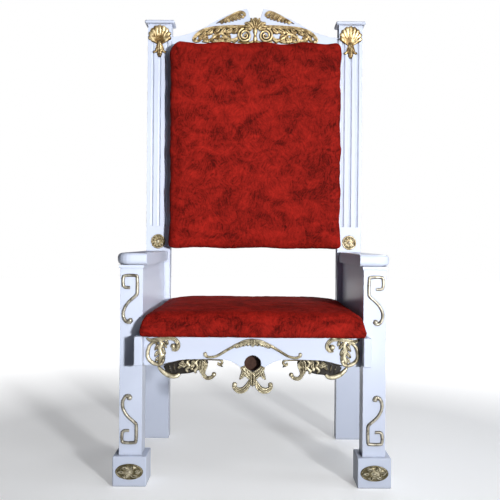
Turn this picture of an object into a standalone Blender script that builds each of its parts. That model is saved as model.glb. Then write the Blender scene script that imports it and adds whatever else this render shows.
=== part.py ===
"""A tall ceremonial armchair, painted white, with gilt cast ornaments and two velvet cushions.

Lengths are in metres. The chair faces -Y, X = 0 is its middle and the floor is at Z = 0.
"""
import math

import bmesh
import bpy

# General
CHAIR = "ceremonial_armchair"
GAP = 0.0003
MM = 0.001
EDGE = 0.002

# Front legs and their foot blocks
LEG_SIDE = 0.076
LEG_INNER_X = 0.369
FOOT_OVERHANG = 0.018
FOOT_HEIGHT = 0.100
NECK_HEIGHT = 0.010
NECK_PROUD = 0.004

# Armrests and the panels under them
ARM_TOP_Z = 0.776
ARM_THICKNESS = 0.040
ARM_INNER_OVERHANG = 0.014
ARM_OUTER_OVERHANG = 0.014
ARM_FRONT_OVERHANG = 0.016
ARM_CORNER_RADIUS = 0.050
ARM_EDGE_RADIUS = 0.015
PANEL_THICKNESS = 0.022
PANEL_RECESS = 0.006
PANEL_BORDER = 0.060

# Rear posts, their flutes and caps
POST_SETBACK = 0.588
POST_DEPTH = 0.060
POST_WIDTH = 0.098
POST_OVER_SHOULDER = 0.050
FLUTE_RADIUS = 0.0065
FLUTE_SPACING = 0.029
FLUTE_COUNT = 3
FLUTE_LIFT = 0.104
FLUTE_TOP_MARGIN = 0.036
FLUTE_SIDES = 12
CAP_THICKNESS = 0.014
CAP_OVERHANG = 0.012
CAP_EDGE = 0.004

# Back board and its broken pediment
BOARD_SETBACK = 0.012
BOARD_THICKNESS = 0.024
BOARD_BOTTOM_MARGIN = 0.008
SHOULDER_OVER_CUSHION = 0.051
PEDIMENT_RISE = 0.119
NECK_TIP_X = 0.034
NOTCH_DEPTH = 0.052
NOTCH_FLOOR_X = 0.016

# Seat frame
SEAT_TOP_Z = 0.506
RAIL_HEIGHT = 0.100
DECK_THICKNESS = 0.018
RAIL_THICKNESS = 0.024
APRON_PROUD = 0.032
APRON_ARCH_RISE = 0.021
APRON_TIP_DROP = 0.133
HOLE_RADIUS = 0.0285
HOLE_DROP = 0.093
HOLE_SIDES = 20
BLOCK_WIDTH = 0.026
BLOCK_REACH = 0.080
BLOCK_DROP = 0.095
BLOCK_INNER_X = 0.359

# Cushions
CUSHION_CLEARANCE = 0.003
SEAT_CUSHION_THICKNESS = 0.074
SEAT_CUSHION_REACH = 0.077
SEAT_CUSHION_RADIUS = 0.030
BACK_CUSHION_OVER_ARM = 0.016
BACK_CUSHION_HEIGHT = 0.825
BACK_CUSHION_PROUD = 0.078
BACK_CUSHION_RADIUS = 0.028
BACK_CUSHION_CLEARANCE = 0.006
CUSHION_SEGMENTS = 3

# Gilt ornaments: their places on what carries them, and the round ones' sizes
UPPER_SCROLL_DROP = 0.114
LOWER_SCROLL_LIFT = 0.120
SHELL_TOP_MARGIN = 0.004
SHELL_HEIGHT = 0.126
SHELL_SPREAD = math.radians(48)
SHELL_LOBES = 7
ROSETTE_LIFT = 0.040
ROSETTE_RADIUS = 0.030
ROSETTE_RISE = 0.012
MEDALLION_WIDTH = 0.093
MEDALLION_HEIGHT = 0.053
MEDALLION_RISE = 0.009
TURNED_STEPS = 16
HANGING_SETBACK = 0.012
GROUND_THICKNESS = 0.004

# Half-round section of the gilt rods
ROD_SIDES = 4
ROD_RISE = 1.1
BACK_STEP = 0.0002
BACK_STEPS = 4

# Values worked out from those above. The depth of the whole chair is centred on Y = 0.
FRONT_Y = (BLOCK_REACH - POST_SETBACK - POST_DEPTH - CAP_OVERHANG) / 2
LEG_BACK_Y = FRONT_Y + LEG_SIDE
LEG_X = LEG_INNER_X + LEG_SIDE / 2
LEG_OUTER_X = LEG_INNER_X + LEG_SIDE
POST_FRONT_Y = FRONT_Y + POST_SETBACK
POST_BACK_Y = POST_FRONT_Y + POST_DEPTH
POST_INNER_X = LEG_OUTER_X - POST_WIDTH
POST_X = LEG_OUTER_X - POST_WIDTH / 2
ARM_BOTTOM_Z = ARM_TOP_Z - ARM_THICKNESS
SEAT_BOTTOM_Z = SEAT_TOP_Z - RAIL_HEIGHT
HOLE_Z = SEAT_TOP_Z - HOLE_DROP
BACK_CUSHION_BOTTOM_Z = ARM_TOP_Z + BACK_CUSHION_OVER_ARM
BACK_CUSHION_TOP_Z = BACK_CUSHION_BOTTOM_Z + BACK_CUSHION_HEIGHT
BOARD_BOTTOM_Z = BACK_CUSHION_BOTTOM_Z + BOARD_BOTTOM_MARGIN
SHOULDER_Z = BACK_CUSHION_TOP_Z + SHOULDER_OVER_CUSHION
NECK_TOP_Z = SHOULDER_Z + PEDIMENT_RISE
POST_TOP_Z = SHOULDER_Z + POST_OVER_SHOULDER
APRON_Y = FRONT_Y - APRON_PROUD
APRON_THICKNESS = APRON_PROUD - GAP
BOARD_Y = POST_FRONT_Y + BOARD_SETBACK

WHITE = ("white_gloss_paint", (0.78, 0.81, 0.90, 1.0), 0.25, 0.0)
GOLD = ("antique_gilt", (0.55, 0.38, 0.18, 1.0), 0.38, 0.85)
VELVET = ("red_crushed_velvet", (0.33, 0.015, 0.012, 1.0), 0.75, 0.0)
TIMBER = ("bare_timber", (0.42, 0.28, 0.17, 1.0), 0.7, 0.0)

SIDES = (("left", -1), ("right", 1))


def clear_scene():
    for old in list(bpy.data.objects):
        bpy.data.objects.remove(old, do_unlink=True)


def collection(name, hidden=False):
    group = bpy.data.collections.new(name)
    bpy.context.scene.collection.children.link(group)
    group.hide_render = hidden
    return group


def material(spec):
    name, colour, roughness, metallic = spec
    found = bpy.data.materials.get(name)
    if found:
        return found
    made = bpy.data.materials.new(name)
    made.use_nodes = True
    shader = made.node_tree.nodes["Principled BSDF"]
    shader.inputs["Base Color"].default_value = colour
    shader.inputs["Roughness"].default_value = roughness
    shader.inputs["Metallic"].default_value = metallic
    return made


def mesh_object(name, bm, spec, group):
    """Make an object of a bmesh, with its faces turned outward."""
    bmesh.ops.recalc_face_normals(bm, faces=bm.faces)
    mesh = bpy.data.meshes.new(name)
    bm.to_mesh(mesh)
    bm.free()
    mesh.materials.append(material(spec))
    obj = bpy.data.objects.new(name, mesh)
    group.objects.link(obj)
    return obj


def cube_between(low, high):
    """A bmesh box between two opposite corners."""
    bm = bmesh.new()
    bmesh.ops.create_cube(bm, size=1.0)
    size = [b - a for a, b in zip(low, high)]
    middle = [(a + b) / 2 for a, b in zip(low, high)]
    bmesh.ops.scale(bm, vec=size, verts=bm.verts)
    bmesh.ops.translate(bm, vec=middle, verts=bm.verts)
    return bm


def sided(side, inner, outer):
    """Low and high X of a piece between two distances from the middle, on one side."""
    return min(side * inner, side * outer), max(side * inner, side * outer)


def add_bevel(obj, width, segments=1):
    bevel = obj.modifiers.new("Bevel", "BEVEL")
    bevel.width = width
    bevel.segments = segments
    return obj


def box(name, low, high, spec, edge=EDGE, segments=1):
    obj = mesh_object(name, cube_between(low, high), spec, PARTS)
    return add_bevel(obj, edge, segments)


def baked(obj):
    """The object's evaluated mesh in place of its modifiers."""
    bpy.context.view_layer.update()
    depsgraph = bpy.context.evaluated_depsgraph_get()
    mesh = bpy.data.meshes.new_from_object(obj.evaluated_get(depsgraph))
    return mesh


def as_mesh(curve_obj, spec, group):
    """Turn a curve into a mesh object in world space, with its caps welded."""
    mesh = baked(curve_obj)
    bm = bmesh.new()
    bm.from_mesh(mesh)
    bm.transform(curve_obj.matrix_world)
    bmesh.ops.remove_doubles(bm, verts=bm.verts, dist=0.00001)
    name = curve_obj.name
    bpy.data.objects.remove(curve_obj, do_unlink=True)
    return mesh_object(name, bm, spec, group)


def combine(obj, others, operation):
    """Join or cut the object with each of the others, which are removed."""
    for other in others:
        step = obj.modifiers.new(other.name, "BOOLEAN")
        step.operation = operation
        step.object = other
    mesh = baked(obj)
    obj.modifiers.clear()
    obj.data = mesh
    for other in others:
        bpy.data.objects.remove(other, do_unlink=True)
    return obj


def smooth_route(points, per_span=2):
    """Points read from a Catmull-Rom curve through the given ones, ends included."""
    padded = [points[0]] + list(points) + [points[-1]]
    route = []
    for i in range(len(points) - 1):
        a, b, c, d = padded[i:i + 4]
        for step in range(per_span):
            t = step / per_span
            route.append(tuple(
                0.5 * (2 * q + (r - p) * t + (2 * p - 5 * q + 4 * r - s) * t * t
                       + (3 * q - p - 3 * r + s) * t ** 3)
                for p, q, r, s in zip(a, b, c, d)))
    route.append(tuple(points[-1]))
    return route


def spiral(cx, cz, outer, inner, start, turns, thick, thin, per_turn=9):
    """A volute that winds in from its outer radius, as (x, z, rod radius)."""
    count = max(3, round(abs(turns) * per_turn))
    route = []
    for i in range(count + 1):
        t = i / count
        reach = outer + (inner - outer) * t
        angle = math.radians(start) + 2 * math.pi * turns * t
        rod = thick + (thin - thick) * t
        route.append((cx + reach * math.cos(angle), cz + reach * math.sin(angle), rod))
    return route


def leaf(x, z, angle, length, width, bend=0.0):
    """A pointed leaf from its stalk at (x, z), as (x, z, rod radius)."""
    route = []
    for t, share in ((0.0, 0.5), (0.5, 1.0), (1.0, 0.12)):
        turn = math.radians(angle + bend * t)
        route.append((x + length * t * math.cos(turn), z + length * t * math.sin(turn),
                      width / 2 * share))
    return route


def front_plate(name, outlines, front_y, thickness, spec, group):
    """A board parallel to the chair's front, from closed outlines of (x, z); inner ones are holes."""
    curve = bpy.data.curves.new(name, "CURVE")
    curve.dimensions = "2D"
    curve.fill_mode = "BOTH"
    curve.extrude = thickness / 2
    for outline in outlines:
        spline = curve.splines.new("POLY")
        spline.points.add(len(outline) - 1)
        for point, (x, z) in zip(spline.points, outline):
            point.co = (x, z, 0.0, 1.0)
        spline.use_cyclic_u = True
    obj = bpy.data.objects.new(name, curve)
    obj.location = (0.0, front_y + thickness / 2, 0.0)
    obj.rotation_euler = (math.pi / 2, 0.0, 0.0)
    group.objects.link(obj)
    return as_mesh(obj, spec, group)


def rod_section():
    """The half-round section, of unit radius, that every gilt rod is swept with."""
    curve = bpy.data.curves.new("rod_section", "CURVE")
    curve.dimensions = "2D"
    spline = curve.splines.new("POLY")
    spline.points.add(ROD_SIDES)
    for i, point in enumerate(spline.points):
        angle = math.pi * i / ROD_SIDES
        point.co = (math.cos(angle), ROD_RISE * math.sin(angle), 0.0, 1.0)
    spline.use_cyclic_u = True
    obj = bpy.data.objects.new("rod_section", curve)
    obj.hide_render = True
    CUTTERS.objects.link(obj)
    return obj


def half_round(name, route, back_y, group):
    """A rod with a flat back, swept along a route of (x, z, radius) in millimetres."""
    curve = bpy.data.curves.new(name, "CURVE")
    curve.dimensions = "2D"
    curve.bevel_mode = "OBJECT"
    curve.bevel_object = SECTION
    curve.use_fill_caps = True
    spline = curve.splines.new("POLY")
    spline.points.add(len(route) - 1)
    for point, (x, z, radius) in zip(spline.points, route):
        point.co = (x * MM, z * MM, 0.0, 1.0)
        point.radius = radius * MM
    obj = bpy.data.objects.new(name, curve)
    obj.location = (0.0, back_y, 0.0)
    obj.rotation_euler = (math.pi / 2, 0.0, 0.0)
    group.objects.link(obj)
    return as_mesh(obj, GOLD, group)


def ornament(name, strokes, carrier_y, place=(0.0, 0.0), side=1, upright=1, ground=None):
    """One casting: its rods and leaves, in millimetres about its place, joined into one body."""
    rods = []
    for i, stroke in enumerate(strokes):
        route = [(side * x + place[0] / MM, upright * z + place[1] / MM, r) for x, z, r in stroke]
        back_y = carrier_y - GAP - BACK_STEP * (i % BACK_STEPS)
        rods.append(half_round(f"{name}_rod_{i}", route, back_y, CUTTERS))
    if ground:
        rods.append(ground)
    first = rods.pop(0)
    if rods:
        combine(first, rods, "UNION")
    CUTTERS.objects.unlink(first)
    PARTS.objects.link(first)
    first.name = name
    return first


def turned(name, profile, place, scale=(1.0, 1.0)):
    """A turned disc on a face that looks to the front, from its (radius, rise) profile."""
    mesh = bpy.data.meshes.new(name)
    mesh.from_pydata([(radius, 0.0, rise) for radius, rise in profile], [
        (i, i + 1) for i in range(len(profile) - 1)], [])
    mesh.materials.append(material(GOLD))
    obj = bpy.data.objects.new(name, mesh)
    PARTS.objects.link(obj)
    screw = obj.modifiers.new("Screw", "SCREW")
    screw.steps = TURNED_STEPS
    screw.render_steps = TURNED_STEPS
    screw.use_merge_vertices = True
    screw.merge_threshold = 0.0001
    solid = baked(obj)
    obj.modifiers.clear()
    bm = bmesh.new()
    bm.from_mesh(solid)
    bmesh.ops.remove_doubles(bm, verts=bm.verts, dist=0.00001)
    bmesh.ops.scale(bm, vec=(scale[0], scale[1], 1.0), verts=bm.verts)
    bmesh.ops.recalc_face_normals(bm, faces=bm.faces)
    bm.to_mesh(mesh)
    bm.free()
    obj.location = place
    obj.rotation_euler = (math.pi / 2, 0.0, 0.0)
    return obj


def mirrored(half):
    """A closed outline from its right half, which runs from the middle outward and back."""
    return half + [(-x, z) for x, z in reversed(half)]


def build_foot(label, side):
    low_x, high_x = sided(side, LEG_INNER_X - FOOT_OVERHANG, LEG_OUTER_X + FOOT_OVERHANG)
    low = (low_x, FRONT_Y - FOOT_OVERHANG, 0.0)
    high = (high_x, LEG_BACK_Y + FOOT_OVERHANG, FOOT_HEIGHT)
    box(f"foot_block_{label}", low, high, WHITE)


def build_leg(label, side):
    """The square leg, with a thin neck moulding under the armrest."""
    top = ARM_BOTTOM_Z - GAP
    low_x, high_x = sided(side, LEG_INNER_X, LEG_OUTER_X)
    leg = mesh_object(f"front_leg_{label}", cube_between(
        (low_x, FRONT_Y, FOOT_HEIGHT + GAP), (high_x, LEG_BACK_Y, top)), WHITE, PARTS)
    neck = mesh_object("neck", cube_between(
        (low_x - NECK_PROUD, FRONT_Y - NECK_PROUD, top - NECK_HEIGHT),
        (high_x + NECK_PROUD, LEG_BACK_Y, top)), WHITE, CUTTERS)
    combine(leg, [neck], "UNION")


def build_armrest(label, side):
    """A level armrest with a well rounded outer front corner and a rounded rim."""
    inner = LEG_INNER_X - ARM_INNER_OVERHANG
    outer = LEG_OUTER_X + ARM_OUTER_OVERHANG
    back = POST_FRONT_Y - GAP
    front = FRONT_Y - ARM_FRONT_OVERHANG
    bm = cube_between((inner, front, ARM_BOTTOM_Z), (outer, back, ARM_TOP_Z))
    corner = [e for e in bm.edges if all(
        math.isclose(v.co.x, outer, abs_tol=GAP) and math.isclose(v.co.y, front, abs_tol=GAP)
        for v in e.verts)]
    bmesh.ops.bevel(bm, geom=corner, offset=ARM_CORNER_RADIUS, segments=6, profile=0.5,
                    affect="EDGES")
    rim = []
    for edge in bm.edges:
        first, second = (v.co for v in edge.verts)
        level = math.isclose(first.z, second.z, abs_tol=GAP)
        on_inner = max(abs(first.x - inner), abs(second.x - inner)) < GAP
        on_back = max(abs(first.y - back), abs(second.y - back)) < GAP
        if level and not on_inner and not on_back:
            rim.append(edge)
    bmesh.ops.bevel(bm, geom=rim, offset=ARM_EDGE_RADIUS, segments=3, profile=0.5, affect="EDGES")
    bmesh.ops.scale(bm, vec=(side, 1.0, 1.0), verts=bm.verts)
    mesh_object(f"armrest_{label}", bm, WHITE, PARTS)


def build_side_panel(label, side):
    """The panel that closes the side between leg and post, with a shallow outer recess."""
    low_x, high_x = sided(side, LEG_INNER_X, LEG_INNER_X + PANEL_THICKNESS)
    low_y = LEG_BACK_Y + GAP
    high_y = POST_FRONT_Y - GAP
    high_z = ARM_BOTTOM_Z - GAP
    panel = mesh_object(f"side_panel_{label}", cube_between(
        (low_x, low_y, SEAT_BOTTOM_Z), (high_x, high_y, high_z)), WHITE, PARTS)
    cut_low, cut_high = sided(side, LEG_INNER_X + PANEL_THICKNESS - PANEL_RECESS,
                              LEG_INNER_X + PANEL_THICKNESS + PANEL_RECESS)
    field = mesh_object("field", cube_between(
        (cut_low, low_y + PANEL_BORDER, SEAT_BOTTOM_Z + PANEL_BORDER),
        (cut_high, high_y - PANEL_BORDER, high_z - PANEL_BORDER)), WHITE, CUTTERS)
    combine(panel, [field], "DIFFERENCE")


def flute_cutter(x):
    """A round bar whose half sinks into the post's face."""
    top = POST_TOP_Z - FLUTE_TOP_MARGIN
    bottom = ARM_TOP_Z + FLUTE_LIFT
    bm = bmesh.new()
    bmesh.ops.create_cone(bm, cap_ends=True, segments=FLUTE_SIDES, radius1=FLUTE_RADIUS,
                          radius2=FLUTE_RADIUS, depth=top - bottom)
    middle = (x, POST_FRONT_Y - BACK_STEP, (top + bottom) / 2)
    bmesh.ops.translate(bm, vec=middle, verts=bm.verts)
    return mesh_object("flute", bm, WHITE, CUTTERS)


def build_post(label, side):
    low_x, high_x = sided(side, POST_INNER_X, LEG_OUTER_X)
    post = mesh_object(f"rear_post_{label}", cube_between(
        (low_x, POST_FRONT_Y, 0.0), (high_x, POST_BACK_Y, POST_TOP_Z)), WHITE, PARTS)
    flutes = []
    for i in range(FLUTE_COUNT):
        offset = (i - (FLUTE_COUNT - 1) / 2) * FLUTE_SPACING
        flutes.append(flute_cutter(side * POST_X + offset))
    combine(post, flutes, "DIFFERENCE")


def build_cap(label, side):
    low_x, high_x = sided(side, POST_INNER_X - CAP_OVERHANG, LEG_OUTER_X + CAP_OVERHANG)
    low = (low_x, POST_FRONT_Y - CAP_OVERHANG, POST_TOP_Z + GAP)
    high = (high_x, POST_BACK_Y + CAP_OVERHANG, POST_TOP_Z + CAP_THICKNESS)
    box(f"post_cap_{label}", low, high, WHITE, CAP_EDGE)


def build_back_board():
    """The board between the posts, up to the swan necks and the notch between them."""
    edge = POST_INNER_X - GAP
    neck = smooth_route([
        (edge * along, SHOULDER_Z + PEDIMENT_RISE * up) for along, up in (
            (1.0, 0.0), (0.86, 0.06), (0.65, 0.28), (0.46, 0.59), (0.23, 0.90))
    ] + [(NECK_TIP_X, NECK_TOP_Z)], per_span=3)
    notch = [(NOTCH_FLOOR_X, NECK_TOP_Z - NOTCH_DEPTH)]
    half = notch + neck[::-1] + [(edge, BOARD_BOTTOM_Z)]
    front_plate("back_board", [mirrored(half)], BOARD_Y, BOARD_THICKNESS, WHITE, PARTS)


def build_seat_frame():
    box("rear_rail", (-POST_INNER_X + GAP, POST_FRONT_Y, SEAT_BOTTOM_Z),
        (POST_INNER_X - GAP, POST_FRONT_Y + RAIL_THICKNESS, SEAT_TOP_Z), WHITE)
    deck_x = LEG_INNER_X - GAP
    low = (-deck_x, FRONT_Y, SEAT_TOP_Z - DECK_THICKNESS)
    high = (deck_x, POST_FRONT_Y - GAP, SEAT_TOP_Z)
    box("seat_deck", low, high, TIMBER)


def build_apron():
    """The front rail: a shaped lower edge that drops to a point under the round hole."""
    edge = BLOCK_INNER_X - GAP
    tip_z = SEAT_TOP_Z - APRON_TIP_DROP
    arch_z = SEAT_BOTTOM_Z + APRON_ARCH_RISE
    swoop = arch_z - tip_z
    drop = [(HOLE_RADIUS * along, tip_z + swoop * up) for along, up in (
        (0.0, 0.0), (0.63, 0.24), (1.33, 0.50), (2.03, 0.74))]
    arch = [(edge * along, SEAT_BOTTOM_Z + APRON_ARCH_RISE * up) for along, up in (
        (0.27, 1.0), (0.54, 1.0), (0.67, 0.86), (0.82, 0.24), (0.91, 0.0))]
    arch = smooth_route(drop + arch)
    half = arch[1:] + [(edge, SEAT_BOTTOM_Z), (edge, SEAT_TOP_Z)]
    outline = [arch[0]] + mirrored(half)
    hole = []
    for i in range(HOLE_SIDES):
        angle = 2 * math.pi * i / HOLE_SIDES
        hole.append((HOLE_RADIUS * math.cos(angle), HOLE_Z + HOLE_RADIUS * math.sin(angle)))
    front_plate("front_apron", [outline, hole], APRON_Y, APRON_THICKNESS, WHITE, PARTS)


def build_end_block(label, side):
    low_x, high_x = sided(side, BLOCK_INNER_X, BLOCK_INNER_X + BLOCK_WIDTH)
    low = (low_x, FRONT_Y - BLOCK_REACH, SEAT_TOP_Z - BLOCK_DROP)
    high = (high_x, FRONT_Y - GAP, SEAT_TOP_Z)
    box(f"end_block_{label}", low, high, WHITE)


def build_cushions():
    seat_x = LEG_INNER_X - CUSHION_CLEARANCE
    seat_z = SEAT_TOP_Z + GAP
    box("seat_cushion", (-seat_x, FRONT_Y - SEAT_CUSHION_REACH, seat_z),
        (seat_x, POST_FRONT_Y - CUSHION_CLEARANCE, seat_z + SEAT_CUSHION_THICKNESS),
        VELVET, SEAT_CUSHION_RADIUS, CUSHION_SEGMENTS)
    back_x = POST_INNER_X - BACK_CUSHION_CLEARANCE
    box("back_cushion", (-back_x, POST_FRONT_Y - BACK_CUSHION_PROUD, BACK_CUSHION_BOTTOM_Z),
        (back_x, BOARD_Y - GAP, BACK_CUSHION_TOP_Z),
        VELVET, BACK_CUSHION_RADIUS, CUSHION_SEGMENTS)


def leg_scroll():
    """A rod that starts as an angular hook and ends as a long S with a curled tip."""
    hook = [(-1, 38, 3), (-27, 40, 3.4), (-27, 79, 3.4), (19, 79, 3.4), (20, 16, 3.4)]
    tail = smooth_route([
        (11, 8, 3.4), (-7, -8, 3.4), (-19, -24, 3.4), (-26, -43, 3.6), (-25, -62, 3.6),
        (-17, -75, 3.8), (-5, -77, 4.2), (-1, -71, 4.6)])
    return [hook + tail]


def shell():
    """A fan of lobes over a bound waist, with a small leaf below; its top is at z = 0."""
    height = SHELL_HEIGHT / MM
    waist = -0.64 * height
    strokes = []
    for i in range(SHELL_LOBES):
        lean = (i / (SHELL_LOBES - 1) - 0.5) * 2
        angle = math.radians(90) + lean * SHELL_SPREAD
        reach = height * (0.60 - 0.18 * lean * lean)
        route = []
        for t, radius in ((0.04, 2.6), (0.88, 6.6), (1.0, 4.2)):
            route.append((reach * t * math.cos(angle), waist + reach * t * math.sin(angle), radius))
        strokes.append(route)
    strokes.append([(0, waist + 14, 7.5), (0, waist - 4, 6), (0, waist - 22, 9), (0, -height, 1.5)])
    for side in (-1, 1):
        strokes.append([(side * 3, waist - 4, 3.5), (side * 13, waist - 20, 5.5),
                        (side * 22, waist - 26, 3), (side * 24, waist - 22, 1.5)])
    return strokes


def corner_scroll():
    """An acanthus stem, an open C and a band that curls into a volute, from the apron's corner."""
    band = smooth_route([
        (8, -9, 1.5), (23, -19, 5), (56, -15, 6.5), (87, -9, 5), (107, -18, 4.4),
        (114, -36, 4.2), (106, -49, 4.2), (94, -45, 4.4), (98, -37, 5.2)])
    c_curve = smooth_route([
        (37, -24, 3), (18, -38, 4), (12, -62, 4.2), (21, -86, 4.4), (41, -95, 4.6),
        (57, -92, 4)], per_span=1)
    stem = smooth_route([
        (43, -18, 5), (56, -36, 8.5), (47, -56, 6), (60, -70, 8.5), (63, -88, 6), (55, -96, 3)])
    return [band, c_curve, stem, leaf(54, -36, -40, 24, 12), leaf(53, -58, 190, 20, 12),
            leaf(60, -72, 20, 17, 10), leaf(69, -15, -60, 20, 9)]


def arch_scroll():
    """A long low arch under the apron's top edge, thickening into a spray of leaves."""
    half = smooth_route([
        (0, -19, 5), (-33, -23, 5.5), (-54, -32, 4.6), (-77, -43, 4), (-98, -56, 3.8),
        (-120, -68, 3.8), (-142, -72, 4), (-155, -66, 5), (-158, -59, 3.2)])
    strokes = [half[::-1] + [(-x, z, r) for x, z, r in half[1:]]]
    for side in (-1, 1):
        for x, z, angle, length in ((13, -21, -75, 17), (27, -25, -62, 18), (42, -30, -50, 17),
                                    (57, -36, -40, 15)):
            turned_angle = angle if side > 0 else 180 - angle
            strokes.append(leaf(side * x, z, turned_angle, length, 11))
    strokes.append(leaf(0, -22, -88, 22, 12))
    return strokes


def hanging_scroll():
    """A boat-shaped rod with leaves and two hooks, placed from the apron's top corner."""
    rod = smooth_route([
        (48, -108, 2), (62, -104, 4.6), (70, -120, 5), (89, -136, 5.4), (108, -141, 5.2),
        (121, -132, 3.6)])
    stem = smooth_route([
        (218, -87, 5), (205, -108, 6), (202, -125, 5.5), (205, -140, 5), (218, -146, 5),
        (232, -138, 4.6), (232, -131, 5)])
    hook = smooth_route([
        (209, -90, 4), (231, -86, 4.2), (253, -88, 3.8), (256, -96, 3.4), (245, -98, 3.2),
        (240, -106, 3), (246, -110, 2.4)], per_span=1)
    root = smooth_route([(189, -88, 4), (191, -104, 5.5), (185, -122, 5), (186, -136, 3)],
                        per_span=1)
    leaves = [leaf(87, -101, -74, 30, 13), leaf(115, -94, -82, 36, 14),
              leaf(147, -90, -78, 42, 16), leaf(169, -91, -87, 42, 15),
              leaf(121, -127, 40, 30, 12)]
    return [rod, stem, hook, root] + leaves


def hanging_ground(name, side):
    """The thin recessed web that ties the hanging scroll's rods to the apron's lower edge."""
    outline = [(63, -105), (71, -120), (89, -136), (109, -140), (123, -130), (147, -128),
               (171, -122), (191, -110), (213, -92), (209, -82), (166, -80), (120, -84),
               (97, -91), (75, -98)]
    corner_x = -side * BLOCK_INNER_X
    placed = [(corner_x + side * x * MM, SEAT_TOP_Z + z * MM) for x, z in outline]
    return front_plate(name, [placed], APRON_Y + HANGING_SETBACK - GROUND_THICKNESS / 2,
                       GROUND_THICKNESS, GOLD, CUTTERS)


def pendant():
    """A collar of leaves under the hole, with two long curled legs, about the hole's middle."""
    strokes = []
    for side in (-1, 1):
        strokes.append(smooth_route([
            (side * 36, -13, 3), (side * 27, -23, 6.5), (side * 14, -36, 7.5),
            (side * 3, -49, 6)], per_span=1))
        strokes.append(leaf(side * 22, -25, -90 + side * 30, 26, 12, side * 30))
        strokes.append(smooth_route([
            (side * 4, -47, 5), (side * 12, -67, 6), (side * 26, -85, 6.5), (side * 44, -91, 6),
            (side * 60, -82, 5), (side * 64, -69, 4.6), (side * 58, -62, 5.4)]))
    strokes.append(leaf(0, -33, -90, 40, 18))
    return strokes


def neck_leaf():
    """A comma of leaves along a swan neck, measured down from the neck's top."""
    spine = smooth_route([
        (-163, -62, 1.2), (-138, -50, 3.6), (-108, -35, 5), (-80, -21, 6), (-59, -16, 6),
        (-45, -23, 5.5), (-46, -35, 5), (-54, -39, 4)])
    scallops = [leaf(x, z, -62, length, 13) for x, z, length in (
        (-128, -45, 12), (-110, -37, 16), (-92, -29, 20), (-74, -23, 22))]
    return [spine] + scallops


def crest():
    """Two volutes back to back under an arched band, with leaves and a finial, from the shoulder."""
    strokes = []
    for side in (-1, 1):
        band = smooth_route([
            (30, 40, 5), (75, 40, 6), (135, 37, 6.5), (195, 29, 6.5), (235, 14, 6),
            (254, -6, 6), (257, -23, 5)])
        eye = spiral(43, 5, 29, 8, 70, -1.6, 5.5, 4.5)
        leaves = [leaf(84, 34, -60, 36, 17), leaf(104, -13, 66, 32, 15),
                  leaf(122, 33, -72, 36, 17), leaf(144, -15, 74, 30, 15),
                  leaf(162, 29, -76, 34, 17), leaf(184, -16, 78, 28, 15),
                  leaf(201, 22, -80, 32, 16), leaf(226, -18, 84, 24, 15)]
        lower = smooth_route([(64, -8, 5), (110, -16, 5.5), (180, -19, 5.5), (250, -20, 5)],
                             per_span=1)
        finial = [leaf(8, 34, 62, 44, 15, -12), leaf(14, 32, 28, 30, 13, -16)]
        for stroke in [band, eye, lower] + leaves + finial:
            strokes.append([(side * x, z, r) for x, z, r in stroke])
    strokes.append(leaf(0, 32, 90, 50, 17))
    strokes.append([(0, 38, 6), (0, 22, 9), (0, -4, 8), (0, -20, 4)])
    strokes.append([(-70, -18, 4), (0, -18, 5), (70, -18, 4)])
    return strokes


def build_side_ornaments(label, side):
    upper_z = ARM_BOTTOM_Z - UPPER_SCROLL_DROP
    lower_z = FOOT_HEIGHT + LOWER_SCROLL_LIFT
    for level, height, upright in (("upper", upper_z, 1), ("lower", lower_z, -1)):
        ornament(f"leg_scroll_{level}_{label}", leg_scroll(), FRONT_Y,
                 (side * LEG_X, height), -side, upright)
    ornament(f"post_shell_{label}", shell(), POST_FRONT_Y,
             (side * POST_X, POST_TOP_Z - SHELL_TOP_MARGIN))
    corner = (side * BLOCK_INNER_X, SEAT_TOP_Z)
    ornament(f"apron_corner_scroll_{label}", corner_scroll(), APRON_Y, corner, -side)
    web = hanging_ground(f"web_{label}", -side)
    ornament(f"hanging_scroll_{label}", hanging_scroll(), APRON_Y + HANGING_SETBACK, corner,
             -side, ground=web)
    ornament(f"neck_leaf_{label}", neck_leaf(), BOARD_Y, (0.0, NECK_TOP_Z), -side)
    rosette = [(ROSETTE_RADIUS * share, ROSETTE_RISE * rise) for share, rise in (
        (0.0, 1.0), (0.22, 0.95), (0.34, 0.55), (0.5, 0.5), (0.8, 0.75), (1.0, 0.2), (0.98, 0.0),
        (0.0, 0.0))]
    turned(f"post_rosette_{label}", rosette, (side * POST_X, POST_FRONT_Y - GAP, ARM_TOP_Z + ROSETTE_LIFT))
    oval = [(MEDALLION_WIDTH / 2 * share, MEDALLION_RISE * rise) for share, rise in (
        (0.0, 1.0), (0.16, 0.95), (0.24, 0.55), (0.44, 0.6), (0.52, 0.9), (0.62, 0.6), (0.9, 0.5),
        (1.0, 0.1), (0.98, 0.0), (0.0, 0.0))]
    turned(f"foot_medallion_{label}", oval,
           (side * LEG_X, FRONT_Y - FOOT_OVERHANG - GAP, FOOT_HEIGHT / 2),
           (1.0, MEDALLION_HEIGHT / MEDALLION_WIDTH))


def build_chair():
    for label, side in SIDES:
        build_foot(label, side)
        build_leg(label, side)
        build_armrest(label, side)
        build_side_panel(label, side)
        build_post(label, side)
        build_cap(label, side)
        build_end_block(label, side)
        build_side_ornaments(label, side)
    build_back_board()
    build_seat_frame()
    build_apron()
    build_cushions()
    ornament("apron_arch_scroll", arch_scroll(), APRON_Y, (0.0, SEAT_TOP_Z))
    ornament("pendant_fleur", pendant(), APRON_Y, (0.0, HOLE_Z))
    ornament("crest_scroll", crest(), BOARD_Y, (0.0, SHOULDER_Z))


clear_scene()
PARTS = collection(CHAIR)
CUTTERS = collection("cutters", hidden=True)
SECTION = rod_section()
build_chair()
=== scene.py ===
"""Looks of the white and gilt ceremonial armchair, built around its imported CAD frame.

Lengths are in metres, but an ornament's own points are in millimetres about its place.
"""
import math

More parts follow.
